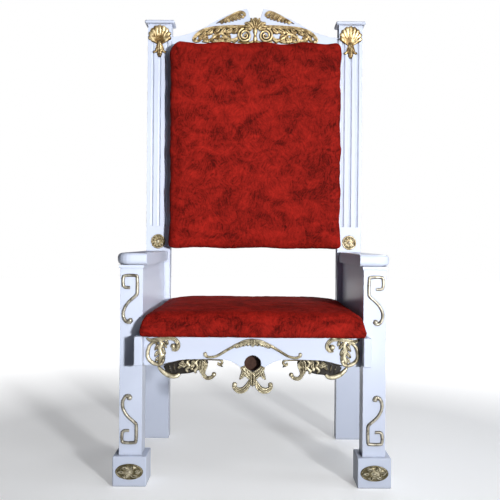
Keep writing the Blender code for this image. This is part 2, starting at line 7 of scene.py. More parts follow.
import bmesh
import bpy
import numpy as np
from mathutils import Matrix, Vector, noise


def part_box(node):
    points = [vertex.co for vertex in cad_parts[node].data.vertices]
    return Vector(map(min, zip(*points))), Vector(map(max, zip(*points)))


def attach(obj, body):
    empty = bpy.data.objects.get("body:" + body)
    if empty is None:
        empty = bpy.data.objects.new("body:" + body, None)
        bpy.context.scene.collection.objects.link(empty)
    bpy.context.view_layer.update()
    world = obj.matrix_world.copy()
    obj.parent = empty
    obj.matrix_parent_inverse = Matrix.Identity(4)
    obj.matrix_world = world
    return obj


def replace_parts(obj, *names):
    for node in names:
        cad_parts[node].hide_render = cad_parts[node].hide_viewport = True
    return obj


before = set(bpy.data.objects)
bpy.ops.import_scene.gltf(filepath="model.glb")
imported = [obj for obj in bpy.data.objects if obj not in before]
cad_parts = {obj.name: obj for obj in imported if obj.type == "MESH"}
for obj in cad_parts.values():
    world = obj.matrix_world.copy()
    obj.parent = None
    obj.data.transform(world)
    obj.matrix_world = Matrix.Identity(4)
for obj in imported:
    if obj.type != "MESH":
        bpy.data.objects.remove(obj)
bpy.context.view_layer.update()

MM = 0.001
SIDES = (("left", -1), ("right", 1))


def low(node):
    return Vector(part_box(node)[0])


def high(node):
    return Vector(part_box(node)[1])


# Places read from the frame
GAP = 0.0003
FRONT_Y = high("end_block_left").y + GAP
SEAT_TOP_Z = high("front_apron").z
APRON_Y = low("front_apron").y
BOARD_Y = low("back_board").y
NECK_TOP_Z = high("back_board").z
POST_FRONT_Y = low("rear_post_left").y
POST_TOP_Z = high("rear_post_left").z
POST_X = (low("rear_post_right").x + high("rear_post_right").x) / 2
LEG_X = (low("foot_block_right").x + high("foot_block_right").x) / 2
FOOT_FRONT_Y = low("foot_block_right").y
FOOT_HEIGHT = high("foot_block_right").z
CORNER_X = low("end_block_right").x
ARM_TOP_Z = high("armrest_right").z
ARM_BOTTOM_Z = low("armrest_right").z

# The same offsets as in the part's source
SHOULDER_OVER_CUSHION = 0.051
HOLE_DROP = 0.093
UPPER_SCROLL_DROP = 0.114
LOWER_SCROLL_LIFT = 0.120
SHELL_TOP_MARGIN = 0.004
ROSETTE_LIFT = 0.040
HANGING_SETBACK = 0.012
SHOULDER_Z = high("back_cushion").z + SHOULDER_OVER_CUSHION
HOLE_Z = SEAT_TOP_Z - HOLE_DROP
UPPER_SCROLL_Z = ARM_BOTTOM_Z - UPPER_SCROLL_DROP
LOWER_SCROLL_Z = FOOT_HEIGHT + LOWER_SCROLL_LIFT
SHELL_TOP_Z = POST_TOP_Z - SHELL_TOP_MARGIN
ROSETTE_Z = ARM_TOP_Z + ROSETTE_LIFT
MEDALLION_Z = FOOT_HEIGHT / 2

# Camera: the photograph's frame is 500 pixels square
IMAGE_SIZE = 500
FOCAL_PX = 730
SENSOR_MM = 36.0
HORIZON_Y = 243
VANISHING_X = 253.6
CAMERA_DISTANCE = 2.44
CAMERA_HEIGHT = 0.812
ROLL_DEGREES = 0.45


def add_camera():
    """A level camera whose frame is shifted so that its horizon lies where the photograph's does."""
    data = bpy.data.cameras.new("camera")
    data.sensor_width = SENSOR_MM
    data.lens = SENSOR_MM * FOCAL_PX / IMAGE_SIZE
    data.shift_x = (IMAGE_SIZE / 2 - VANISHING_X) / IMAGE_SIZE
    data.shift_y = (HORIZON_Y - IMAGE_SIZE / 2) / IMAGE_SIZE
    obj = bpy.data.objects.new("camera", data)
    turn = Matrix.Rotation(math.pi / 2, 4, "X") @ Matrix.Rotation(math.radians(ROLL_DEGREES), 4, "Z")
    obj.matrix_world = Matrix.Translation((0.0, FRONT_Y - CAMERA_DISTANCE, CAMERA_HEIGHT)) @ turn
    bpy.context.scene.collection.objects.link(obj)
    bpy.context.scene.camera = obj


def add_area_light(name, place, target, size, power, colour, spread):
    data = bpy.data.lights.new(name, "AREA")
    data.shape = "SQUARE"
    data.size = size
    data.energy = power
    data.color = colour
    data.spread = math.radians(spread)
    obj = bpy.data.objects.new(name, data)
    obj.location = place
    aim = Vector(target) - Vector(place)
    obj.rotation_euler = aim.to_track_quat("-Z", "Y").to_euler()
    bpy.context.scene.collection.objects.link(obj)


# The world's light by its Y direction
WALL_DIM_TO = 0.865
WALL_DIM = (0.050, 0.051, 0.058, 1.0)
WALL_WHITE_FROM = 0.895
WALL_WHITE = (1.0, 1.0, 1.0, 1.0)


def add_surround():
    """A dim room with one bright white wall behind the chair."""
    world = bpy.data.worlds.new("surround")
    world.use_nodes = True
    tree = world.node_tree
    sky = tree.nodes["Background"]
    direction = tree.nodes.new("ShaderNodeTexCoord")
    parts = tree.nodes.new("ShaderNodeSeparateXYZ")
    wall = tree.nodes.new("ShaderNodeValToRGB")
    stops = wall.color_ramp.elements
    stops[0].position = WALL_DIM_TO
    stops[0].color = WALL_DIM
    stops[1].position = WALL_WHITE_FROM
    stops[1].color = WALL_WHITE
    tree.links.new(direction.outputs["Generated"], parts.inputs["Vector"])
    tree.links.new(parts.outputs["Y"], wall.inputs["Fac"])
    tree.links.new(wall.outputs["Color"], sky.inputs["Color"])
    sky.inputs["Strength"].default_value = 1.0
    world.cycles_visibility.glossy = False
    bpy.context.scene.world = world


# Each light's name, place, target, side length, watts, colour and beam angle in degrees
LIGHTS = (
    ("key", (1.90, -4.3, 1.12), (-0.35, 0.0, 1.16), 0.34, 31, (1.0, 1.0, 1.0), 55),
    ("top", (1.7, -1.3, 3.3), (0.0, 0.0, 0.4), 1.6, 14, (0.93, 0.96, 1.0), 180),
    ("crown", (0.8, -1.6, 2.2), (0.0, 0.3, 1.62), 0.6, 8, (1.0, 1.0, 1.0), 180),
    ("rear", (1.5, 3.2, 2.3), (0.0, 0.3, 0.9), 1.6, 26, (0.97, 0.98, 1.0), 180),
    ("side", (2.5, -0.7, 1.45), (-0.4, 0.0, 0.66), 0.7, 9, (0.90, 0.95, 1.0), 180),
)
FLOOR_RADIUS = 14.0
FLOOR_SIDES = 64


def add_studio():
    """A pale floor, the surround, a fairly hard key light from the right and soft fills."""
    bpy.context.scene.view_settings.view_transform = "Standard"
    add_surround()
    for light in LIGHTS:
        add_area_light(*light)
    bpy.ops.mesh.primitive_circle_add(vertices=FLOOR_SIDES, radius=FLOOR_RADIUS, fill_type="NGON")
    floor = bpy.context.object
    floor.name = "floor"
    floor.data.materials.append(floor_material())
    floor.visible_diffuse = False


# Materials. Object coordinates equal world metres, because every piece has its origin at zero.
class Nodes:
    """Short calls for building one material's nodes."""

    def __init__(self, name):
        self.material = bpy.data.materials.new(name)
        self.material.use_nodes = True
        self.tree = self.material.node_tree
        self.shader = self.tree.nodes["Principled BSDF"]

    def add(self, kind, **values):
        node = self.tree.nodes.new(kind)
        for key, value in values.items():
            if key in node.inputs:
                node.inputs[key].default_value = value
            else:
                setattr(node, key, value)
        return node

    def join(self, source, target):
        self.tree.links.new(source, target)

    def coords(self, scale=(1.0, 1.0, 1.0), turn=(0.0, 0.0, 0.0)):
        place = self.add("ShaderNodeTexCoord")
        mapping = self.add("ShaderNodeMapping")
        mapping.inputs["Scale"].default_value = scale
        mapping.inputs["Rotation"].default_value = turn
        self.join(place.outputs["Object"], mapping.inputs["Vector"])
        return mapping.outputs["Vector"]

    def noise(self, scale, detail, distortion=0.0, coords=None, roughness=0.5):
        node = self.add("ShaderNodeTexNoise")
        node.inputs["Scale"].default_value = scale
        node.inputs["Detail"].default_value = detail
        node.inputs["Distortion"].default_value = distortion
        node.inputs["Roughness"].default_value = roughness
        self.join(coords if coords is not None else self.coords(), node.inputs["Vector"])
        return node.outputs["Fac"]

    def ramp(self, source, stops):
        node = self.add("ShaderNodeValToRGB")
        elements = node.color_ramp.elements
        while len(elements) < len(stops):
            elements.new(0.5)
        for element, (position, colour) in zip(elements, stops):
            element.position = position
            element.color = (*colour, 1.0)
        self.join(source, node.inputs["Fac"])
        return node.outputs["Color"]

    def span(self, source, low_in, high_in, low_out, high_out):
        node = self.add("ShaderNodeMapRange")
        for key, value in (("From Min", low_in), ("From Max", high_in), ("To Min", low_out),
                           ("To Max", high_out)):
            node.inputs[key].default_value = value
        self.join(source, node.inputs["Value"])
        return node.outputs["Result"]

    def mix(self, factor, first, second):
        node = self.add("ShaderNodeMix", data_type="RGBA")
        for socket, value in (("Factor", factor), ("A", first), ("B", second)):
            target = next(i for i in node.inputs if i.name == socket and i.enabled)
            if isinstance(value, tuple):
                target.default_value = (*value, 1.0)
            else:
                self.join(value, target)
        return next(o for o in node.outputs if o.enabled)

    def math(self, operation, first, second):
        node = self.add("ShaderNodeMath", operation=operation)
        for target, value in zip(node.inputs, (first, second)):
            if isinstance(value, float):
                target.default_value = value
            else:
                self.join(value, target)
        return node.outputs["Value"]

    def bump(self, height, strength, distance, normal=None):
        node = self.add("ShaderNodeBump")
        node.inputs["Strength"].default_value = strength
        node.inputs["Distance"].default_value = distance
        self.join(height, node.inputs["Height"])
        if normal is not None:
            self.join(normal, node.inputs["Normal"])
        return node.outputs["Normal"]

    def occlusion(self, distance):
        node = self.add("ShaderNodeAmbientOcclusion", samples=4)
        node.inputs["Distance"].default_value = distance
        return node.outputs["AO"]

    def set(self, name, value):
        target = self.shader.inputs[name]
        if hasattr(value, "links"):
            self.join(value, target)
        else:
            target.default_value = value


# The floor's glow rises between two distances from the middle
FLOOR_NEAR = 1.2
FLOOR_FAR = 2.6
FLOOR_NEAR_GLOW = 0.30
FLOOR_FAR_GLOW = 1.00
FLOOR_TONES = ((0.3, (0.88, 0.89, 0.90)), (0.7, (0.91, 0.92, 0.93)))
FLOOR_CLOUD = 3.0


def floor_material():
    """A pale floor that glows more with distance, so that it meets the white wall evenly."""
    n = Nodes("pale_floor")
    tone = n.noise(FLOOR_CLOUD, detail=2.0)
    n.set("Base Color", n.ramp(tone, FLOOR_TONES))
    n.set("Roughness", 0.7)
    away = n.add("ShaderNodeVectorMath", operation="LENGTH")
    n.join(n.coords(), away.inputs[0])
    n.set("Emission Color", (1.0, 1.0, 1.0, 1.0))
    n.set("Emission Strength", n.span(away.outputs["Value"], FLOOR_NEAR, FLOOR_FAR,
                                      FLOOR_NEAR_GLOW, FLOOR_FAR_GLOW))
    return n.material


EDGE_ROUND = 0.0022
PAINT_TONES = ((0.30, (0.560, 0.615, 0.755)), (0.70, (0.590, 0.645, 0.780)))
# Painted shade: this grey is mixed into the paint in corners and gaps, wherever occlusion finds them
PAINT_CORNER_SHADE = (0.16, 0.14, 0.15)
PAINT_CORNER_SHADE_SHARE = 0.55
PAINT_CORNER_SHADE_REACH = 0.012
PAINT_STROKES = (300.0, 300.0, 18.0)
PAINT_CLOUD = 5.0
PAINT_SPECK = 40.0
PAINT_PEEL = 120.0


def paint_material():
    """Brushed gloss paint: softened edges, faint strokes, uneven tone, a little speckled painted
    shade in corners.
    """
    n = Nodes("white_gloss_paint")
    strokes = n.noise(1.0, detail=3.0, coords=n.coords(PAINT_STROKES))
    cloud = n.noise(PAINT_CLOUD, detail=3.0)
    tone = n.ramp(cloud, PAINT_TONES)
    # Painted shade: occlusion darkens the corners and gaps, broken up by specks
    hollow = n.span(n.occlusion(PAINT_CORNER_SHADE_REACH), 0.25, 0.85, 1.0, 0.0)
    speck = n.span(n.noise(PAINT_SPECK, detail=4.0), 0.35, 0.65, 0.5, 1.0)
    painted_corner_shade = n.math("MULTIPLY", n.math("MULTIPLY", hollow, speck), PAINT_CORNER_SHADE_SHARE)
    n.set("Base Color", n.mix(painted_corner_shade, tone, PAINT_CORNER_SHADE))
    n.set("Roughness", n.span(cloud, 0.3, 0.7, 0.34, 0.44))
    n.set("Specular IOR Level", 0.35)
    n.set("Coat Weight", 0.08)
    n.set("Coat Roughness", 0.12)
    peel = n.noise(PAINT_PEEL, detail=2.0)
    edge = n.add("ShaderNodeBevel", samples=4, Radius=EDGE_ROUND)
    first = n.bump(strokes, 0.12, 0.0004, edge.outputs["Normal"])
    n.set("Normal", n.bump(peel, 0.08, 0.0004, first))
    return n.material


# Heights over the carrier below which the gilding is darkened as painted shade and above which it is
# full, and the scales of its marks
GILT_DARK_UP_TO = 0.0008
GILT_FULL_FROM = 0.0036
GILT_CROWN_FROM = 0.0015
GILT_HOLLOW_REACH = 0.006
GILT_PATCH = 60.0
GILT_GRAIN = 700.0
GILT_STOPS = (0.26, 0.60, 0.92)
# How much ridges, open places and height each lighten the gilding: painted highlight on ridges and
# high relief, painted shade where hollows close in
RIDGE_SHARE = 0.26
OPEN_SHARE = 0.42
CROWN_SHARE = 0.32


def gilt_material(name, plane_y, full_height, dark, middle, bright):
    """Gold paint rubbed over a dark ground, with painted shade low down and in hollows and painted
    highlight pale on the ridges.
    """
    n = Nodes(name)
    geometry = n.add("ShaderNodeNewGeometry")
    parts = n.add("ShaderNodeSeparateXYZ")
    n.join(n.coords(), parts.inputs["Vector"])
    height = n.math("SUBTRACT", plane_y, parts.outputs["Y"])
    # Painted shade near the carrier and, through occlusion, in hollows; painted highlight on ridges
    # and high relief, over the rubbed gold's own dark ground
    foot = n.span(height, GILT_DARK_UP_TO, GILT_FULL_FROM, 0.16, 1.0)
    crown = n.span(height, GILT_CROWN_FROM, full_height, 0.0, 1.0)
    ridge = n.span(geometry.outputs["Pointiness"], 0.44, 0.56, 0.0, 1.0)
    open_air = n.span(n.occlusion(GILT_HOLLOW_REACH), 0.50, 0.98, 0.0, 1.0)
    patch = n.noise(GILT_PATCH, detail=5.0, distortion=0.6)
    level = n.math("ADD", n.math("MULTIPLY", ridge, RIDGE_SHARE),
                   n.math("MULTIPLY", open_air, OPEN_SHARE))
    level = n.math("ADD", level, n.math("MULTIPLY", crown, CROWN_SHARE))
    level = n.math("ADD", level, n.span(patch, 0.3, 0.7, -0.27, 0.19))
    level = n.math("MULTIPLY", level, foot)
    n.set("Base Color", n.ramp(level, tuple(zip(GILT_STOPS, (dark, middle, bright)))))
    n.set("Metallic", n.span(level, 0.2, 0.7, 0.10, 0.60))
    n.set("Roughness", n.span(patch, 0.3, 0.7, 0.30, 0.46))
    n.set("Specular IOR Level", 0.25)
    grain = n.noise(GILT_GRAIN, detail=3.0)
    n.set("Normal", n.bump(grain, 0.25, 0.0003))
    return n.material


VELVET_TONES = (
    (0.35, (0.056, 0.0021, 0.0013)), (0.45, (0.136, 0.0052, 0.0031)),
    (0.53, (0.205, 0.0080, 0.0048)), (0.68, (0.305, 0.0122, 0.0074)))
VELVET_SHEEN = (0.75, 0.06, 0.04, 1.0)
VELVET_PATCHES = 27.0
VELVET_DRIFT_SCALE = 16.0
VELVET_DRIFT = 0.014
VELVET_TURN = 0.95
VELVET_STROKES = (165.0, 90.0, 42.0)
VELVET_BLOTCHES = (12.0, 15.0, 17.0)
VELVET_BLOTCH_TURN = (0.0, 0.5, 0.0)
VELVET_NAP = 230.0
VELVET_PILE = 1200.0
STROKE_SHARE = 0.42
BLOTCH_SHARE = 0.55


def velvet_material():
    """Crushed velvet: pile laid in many directions, so the red mottles and streaks."""
    n = Nodes("red_crushed_velvet")
    place = n.coords()
    drift = n.add("ShaderNodeTexNoise")
    drift.inputs["Scale"].default_value = VELVET_DRIFT_SCALE
    drift.inputs["Detail"].default_value = 2.0
    n.join(place, drift.inputs["Vector"])
    shifted = n.add("ShaderNodeVectorMath", operation="MULTIPLY_ADD")
    n.join(drift.outputs["Color"], shifted.inputs[0])
    shifted.inputs[1].default_value = (VELVET_DRIFT,) * 3
    n.join(place, shifted.inputs[2])
    patches = n.add("ShaderNodeTexVoronoi")
    patches.inputs["Scale"].default_value = VELVET_PATCHES
    n.join(shifted.outputs["Vector"], patches.inputs["Vector"])
    chance = n.add("ShaderNodeSeparateColor")
    n.join(patches.outputs["Color"], chance.inputs["Color"])
    lay = n.add("ShaderNodeVectorRotate", rotation_type="Y_AXIS")
    n.join(shifted.outputs["Vector"], lay.inputs["Vector"])
    n.join(n.span(chance.outputs["Red"], 0.0, 1.0, -VELVET_TURN, VELVET_TURN), lay.inputs["Angle"])
    stretch = n.add("ShaderNodeVectorMath", operation="MULTIPLY")
    stretch.inputs[1].default_value = VELVET_STROKES
    n.join(lay.outputs["Vector"], stretch.inputs[0])
    strokes = n.noise(1.0, detail=4.0, distortion=0.25, coords=stretch.outputs["Vector"])
    nap = n.noise(VELVET_NAP, detail=3.0, roughness=0.6)
    blotch = n.noise(1.0, detail=4.0, distortion=1.0, roughness=0.6,
                     coords=n.coords(VELVET_BLOTCHES, VELVET_BLOTCH_TURN))
    level = n.math("ADD", n.math("MULTIPLY", strokes, STROKE_SHARE),
                   n.math("MULTIPLY", blotch, BLOTCH_SHARE))
    level = n.math("ADD", level, n.span(nap, 0.3, 0.7, -0.05, 0.05))
    level = n.math("ADD", level, n.span(chance.outputs["Green"], 0.0, 1.0, -0.01, 0.05))
    n.set("Base Color", n.ramp(level, VELVET_TONES))
    n.set("Roughness", 0.78)
    n.set("Specular IOR Level", 0.05)
    n.set("Sheen Weight", 0.05)
    n.set("Sheen Roughness", 0.40)
    n.set("Sheen Tint", VELVET_SHEEN)
    pile = n.noise(VELVET_PILE, detail=2.0)
    first = n.bump(strokes, 0.40, 0.0025)
    n.set("Normal", n.bump(pile, 0.25, 0.0004, first))
    return n.material


# Painted shade: bare timber darkened to stand for the shade seen through the apron's hole
SHADED_TIMBER_TONES = ((0.3, (0.034, 0.015, 0.010)), (0.7, (0.060, 0.030, 0.021)))
TIMBER_RINGS = (60.0, 3.0, 60.0)


def timber_material():
    n = Nodes("bare_timber")
    rings = n.noise(1.0, detail=5.0, distortion=1.0, coords=n.coords(TIMBER_RINGS))
    n.set("Base Color", n.ramp(rings, SHADED_TIMBER_TONES))
    n.set("Roughness", n.span(rings, 0.3, 0.7, 0.6, 0.8))
    n.set("Specular IOR Level", 0.15)
    n.set("Normal", n.bump(rings, 0.3, 0.0008))
    return n.material


# Carving. A stroke is a style and a route of (x, z, half width) in millimetres.
SECTION_STEPS = 12
PER_SPAN = 7
SINK = 0.6
# Cross-sections
FLANK_POWER = 2.3
TOP_POWER = 0.55
RIDGE_RISE = 1.9
GROOVE_DEPTH = 0.42
GROOVE_PLACE = 0.30
GROOVE_WIDTH = 0.17
VEIN_DEPTH = 0.45
VEIN_WIDTH = 0.17
LOBE_LENGTH = 7.0
LOBE_RIPPLE = 0.16
LOBE_SLANT = 0.9
LOBE_EDGE = 0.13
# Leaves
LEAF_STEP = 1.5
LEAF_STEPS = 10
LEAF_START = 0.22
LEAF_POWER = 0.65
LEAF_TIP = 0.4
RIB_WIDTH = 0.62
SIDE_LEAF_WIDTH = 0.40
SIDE_LEAF_BEND = 20
SIDE_LEAVES = ((0.16, 52, 0.50), (0.40, 44, 0.46), (0.64, 34, 0.36))
# Castings
CARVE_RISE = 1.15
BALL_RISE = 1.05
BUTTON_SIDES = 24
BUTTON_RINGS = 12
CORNER_CUT_SHARE = 0.45
# The remesh that melts a casting's strokes together
CARVE_VOXEL = 0.9
FINE_VOXEL = 0.7
CREST_VOXEL = 1.0
SOFTEN_FACTOR = 0.5
SOFTEN_ROUNDS = 2
KEPT_SHARE = 0.52


def smooth_route(points, per_span=PER_SPAN):
    """Points read from a Catmull-Rom curve through the given ones, ends included."""
    padded = [points[0]] + list(points) + [points[-1]]
    route = []
    for i in range(len(points) - 1):
        a, b, c, d = padded[i:i + 4]
        for step in range(per_span):
            t = step / per_span
            route.append(tuple(
                0.5 * (2 * q + (r - p) * t + (2 * p - 5 * q + 4 * r - s) * t * t
                       + (3 * q - p - 3 * r + s) * t ** 3)
                for p, q, r, s in zip(a, b, c, d)))
    route.append(tuple(points[-1]))
    return route


def rounded_corners(points, radius):
    """A route whose corners are cut by short curves."""
    route = [points[0]]
    for before, corner, after in zip(points, points[1:], points[2:]):
        for other in (before, after):
            run = math.dist(other[:2], corner[:2])
            share = min(CORNER_CUT_SHARE, radius / run)
            route.append(tuple(c + (o - c) * share for c, o in zip(corner, other)))
    route.append(points[-1])
    return route


def spiral(cx, cz, outer, inner, start, turns, thick, thin, per_turn=28):
    count = round(abs(turns) * per_turn)
    route = []
    for i in range(count + 1):
        t = i / count
        reach = outer + (inner - outer) * t
        angle = math.radians(start) + 2 * math.pi * turns * t
        rod = thick + (thin - thick) * t
        route.append((cx + reach * math.cos(angle), cz + reach * math.sin(angle), rod))
    return route


def rod(points):
    return ("rod", smooth_route(points))


def band(points):
    return ("band", smooth_route(points))


def ball(x, z, radius):
    return ("ball", [(x, z, radius)])


def leaf(x, z, angle, length, width, bend=0.0):
    """A pointed leaf from its stalk at (x, z), with a midrib and lobed sides."""
    route = []
    steps = max(LEAF_STEPS, round(length / LEAF_STEP))
    for i in range(steps + 1):
        t = i / steps
        turn = math.radians(angle + bend * t)
        body = math.sin(math.pi * min(1.0, LEAF_START + (1.0 - LEAF_START) * t)) ** LEAF_POWER
        route.append((x + length * t * math.cos(turn), z + length * t * math.sin(turn),
                      max(LEAF_TIP, width / 2 * body)))
    return ("leaf", route)


def acanthus(x, z, angle, length, width, bend=0.0):
    """A leaf with a fan of side lobes on both edges."""
    strokes = [leaf(x, z, angle, length, width * RIB_WIDTH, bend)]
    for t, spread, size in SIDE_LEAVES:
        turn = math.radians(angle + bend * t)
        px = x + length * t * math.cos(turn)
        pz = z + length * t * math.sin(turn)
        for way in (-1, 1):
            strokes.append(leaf(px, pz, angle + bend * t + way * spread, length * size,
                                width * SIDE_LEAF_WIDTH, -way * SIDE_LEAF_BEND))
    return strokes


def lobe_count(length):
    return max(2.0, length / LOBE_LENGTH)


def section(style, u, t, length):
    """Height over half width of a stroke's cross-section at u from -1 to 1."""
    arch = max(0.0, 1.0 - abs(u) ** FLANK_POWER) ** TOP_POWER
    if style == "ridge":
        return arch * RIDGE_RISE
    if style == "band":
        return arch * (1.0 - GROOVE_DEPTH * math.exp(-((abs(u) - GROOVE_PLACE) / GROOVE_WIDTH) ** 2))
    if style == "leaf":
        vein = 1.0 - VEIN_DEPTH * math.exp(-(u / VEIN_WIDTH) ** 2)
        turns = t * lobe_count(length) - LOBE_SLANT * abs(u)
        return arch * vein * (1.0 + LOBE_RIPPLE * math.cos(2 * math.pi * turns))
    return arch


def edge_factor(style, t, length):
    """A leaf's half width swells and shrinks with its lobes."""
    if style == "leaf":
        return 1.0 + LOBE_EDGE * math.cos(2 * math.pi * t * lobe_count(length))
    return 1.0


def sweep(bm, style, route, to_world, rise):
    """One closed stroke with a flat back."""
    if style == "ball":
        for x, z, radius in route:
            dome(bm, x, z, radius, radius * BALL_RISE, to_world)
        return
    length = sum(math.dist(a[:2], b[:2]) for a, b in zip(route, route[1:]))
    rings = []
    for i, (x, z, half) in enumerate(route):
        before = route[max(i - 1, 0)]
        after = route[min(i + 1, len(route) - 1)]
        dx, dz = after[0] - before[0], after[1] - before[1]
        run = math.hypot(dx, dz) or 1.0
        nx, nz = -dz / run, dx / run
        t = i / (len(route) - 1)
        wide = half * edge_factor(style, t, length)
        ring = []
        for k in range(SECTION_STEPS + 1):
            u = 2 * k / SECTION_STEPS - 1
            up = section(style, u, t, length) * half * rise
            ring.append(bm.verts.new(to_world(x + nx * u * wide, z + nz * u * wide, up)))
        for u in (1, -1):
            ring.append(bm.verts.new(to_world(x + nx * u * wide, z + nz * u * wide, -SINK)))
        rings.append(ring)
    for ring, following in zip(rings, rings[1:]):
        for k in range(len(ring)):
            m = (k + 1) % len(ring)
            bm.faces.new((ring[k], ring[m], following[m], following[k]))
    bm.faces.new(rings[0][::-1])
    bm.faces.new(rings[-1])


def dome(bm, x, z, radius, height, to_world):
    """A button: half a ball on the carrier's face."""
    made = bmesh.ops.create_uvsphere(bm, u_segments=BUTTON_SIDES, v_segments=BUTTON_RINGS,
                                     radius=1.0)
    for v in made["verts"]:
        p = v.co
        v.co = to_world(x + p.x * radius, z + p.y * radius, max(-SINK, p.z * height))


def web(bm, outline, front_up, back_up, to_world):
    """A thin flat plate with the given outline."""
    front = [bm.verts.new(to_world(x, z, front_up)) for x, z in outline]
    back = [bm.verts.new(to_world(x, z, back_up)) for x, z in outline]
    bm.faces.new(front)
    bm.faces.new(back[::-1])
    for k in range(len(outline)):
        m = (k + 1) % len(outline)
        bm.faces.new((front[k], back[k], back[m], front[m]))


def add_object(name, bm, material):
    bmesh.ops.recalc_face_normals(bm, faces=bm.faces)
    mesh = bpy.data.meshes.new(name)
    bm.to_mesh(mesh)
    bm.free()
    mesh.materials.append(material)
    obj = bpy.data.objects.new(name, mesh)
    bpy.context.scene.collection.objects.link(obj)
    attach(obj, "root")
    return obj


def applied(obj):
    """Replace the object's mesh by its evaluated one and drop the modifiers."""
    bpy.context.view_layer.update()
    depsgraph = bpy.context.evaluated_depsgraph_get()
    mesh = bpy.data.meshes.new_from_object(obj.evaluated_get(depsgraph))
    obj.modifiers.clear()
    old = obj.data
    obj.data = mesh
    bpy.data.meshes.remove(old)
    return obj


def carve(name, strokes, plane_y, place, material, side=1, upright=1, rise=CARVE_RISE,
          voxel=CARVE_VOXEL, fatten=1.0, grow=1.0, buttons=(), stretch=1.0, ground=None):
    """A casting: its strokes and buttons melted into one body by a fine remesh."""
    bm = bmesh.new()

    def to_world(x, z, up):
        return (place[0] + side * x * stretch * grow * MM, plane_y - up * MM,
                place[1] + upright * z * grow * MM)

    for style, route in strokes:
        sweep(bm, style, [(x, z, r * fatten) for x, z, r in route], to_world, rise)
    for x, z, radius, height in buttons:
        dome(bm, x, z, radius, height, to_world)
    if ground:
        ground(bm, to_world)
    obj = add_object(name, bm, material)
    remesh = obj.modifiers.new("Remesh", "REMESH")
    remesh.mode = "VOXEL"
    remesh.voxel_size = voxel * MM
    soften = obj.modifiers.new("Soften", "SMOOTH")
    soften.factor = SOFTEN_FACTOR
    soften.iterations = SOFTEN_ROUNDS
    thin = obj.modifiers.new("Thin", "DECIMATE")
    thin.ratio = KEPT_SHARE
    applied(obj)
    obj.data.shade_smooth()
    return obj


def leg_scroll():
    hook = rounded_corners([(-4, 38, 4.0), (-27, 39, 4.2), (-27, 78, 4.2), (19, 78, 4.4),
                            (20, 16, 4.4), (11, 8, 4.4)], radius=7.0)
    tail = [(-7, -8, 4.2), (-19, -24, 4.2), (-26, -43, 4.2), (-25, -62, 4.4),
            (-16, -76, 4.8), (-5, -78, 5.0), (-1, -73, 5.0)]
    return [("rod", smooth_route(hook + tail, per_span=5)), ball(-3, -72, 7.0)]


SHELL_HEIGHT = 126.0
SHELL_WAIST = 0.64
SHELL_RIBS = 9
SHELL_SPREAD = 48
SHELL_MIDDLE_RIB = 0.635
SHELL_SIDE_LOSS = 0.20
SHELL_RIB = ((0.02, 3.0), (0.30, 4.8), (0.60, 8.2), (0.82, 10.2), (0.93, 9.6), (1.0, 5.0))


def shell():
    """A closed fan of ribs over a bound waist, with a small leaf below; its top is at z = 0."""
    waist = -SHELL_WAIST * SHELL_HEIGHT
    strokes = []
    for i in range(SHELL_RIBS):
        lean = (i / (SHELL_RIBS - 1) - 0.5) * 2
        angle = math.radians(90 + lean * SHELL_SPREAD)
        reach = SHELL_HEIGHT * (SHELL_MIDDLE_RIB - SHELL_SIDE_LOSS * lean * lean)
        route = []
        for t, half in SHELL_RIB:
            route.append((reach * t * math.cos(angle), waist + reach * t * math.sin(angle), half))
        strokes.append(("rod", smooth_route(route, per_span=6)))
    strokes.append(("leaf", smooth_route([(0, waist + 22, 3.0), (0, waist + 10, 8.0),
                                          (0, waist - 4, 8.5), (0, waist - 16, 7.0)])))
    strokes += acanthus(0, waist - 6, -90, 40, 26)
    for way in (-1, 1):
        strokes.append(rod([(way * 4, waist + 4, 3.4), (way * 10, waist - 14, 5.0),
                            (way * 19, waist - 25, 5.0), (way * 25, waist - 22, 3.6)]))
        strokes.append(leaf(way * 3, waist + 12, -90 + way * 14, 34, 12, way * 12))
    return strokes


def corner_scroll():
    """A hooked volute and a round arm on both sides of a lumpy stem of leaf lobes."""
    strokes = [
        band([(8, -10, 3.0), (24, -18, 7.0), (52, -14, 8.0), (78, -10, 7.0), (98, -12, 7.4),
              (111, -24, 7.4), (113, -38, 6.8), (105, -48, 6.4), (93, -47, 5.6)]),
        ball(97, -36, 9.5),
        rod([(34, -22, 4.5), (20, -34, 6), (13, -54, 6.4), (14, -74, 6.6), (25, -88, 6.8),
             (42, -96, 6.6), (57, -94, 6.0), (64, -84, 5.0)]),
        rod([(50, -16, 6), (58, -30, 8.0), (52, -47, 7.4), (58, -64, 8.0), (54, -80, 7.4),
             (50, -96, 5)]), ball(63, -83, 7.0)]
    for x, z, angle, length, width in (
            (59, -22, -52, 27, 15), (51, -32, -132, 25, 14), (58, -42, -58, 26, 15),
            (50, -52, -128, 25, 14), (60, -60, -66, 22, 14), (50, -72, -128, 20, 13),
            (38, -19, -70, 17, 12), (72, -16, -66, 19, 12)):
        strokes.append(leaf(x, z, angle, length, width))
    return strokes


def arch_scroll():
    half = [(0, -18, 8.0), (-24, -20, 7.6), (-44, -27, 6.2), (-62, -35, 5.2), (-80, -45, 4.8),
            (-98, -56, 4.6), (-120, -68, 4.6), (-142, -72, 4.8), (-155, -67, 5.2), (-158, -61, 5.0)]
    strokes = [band(half[::-1] + [(-x, z, r) for x, z, r in half[1:]])]
    for way in (-1, 1):
        strokes.append(ball(way * 157, -61, 6.5))
        for x, z, angle, length in ((10, -21, -60, 16), (22, -23, -48, 17), (34, -27, -42, 17),
                                    (46, -32, -38, 15)):
            strokes.append(leaf(way * x, z, angle if way > 0 else 180 - angle, length, width=12))
    strokes.append(leaf(0, -12, -90, 26, 20))
    return strokes


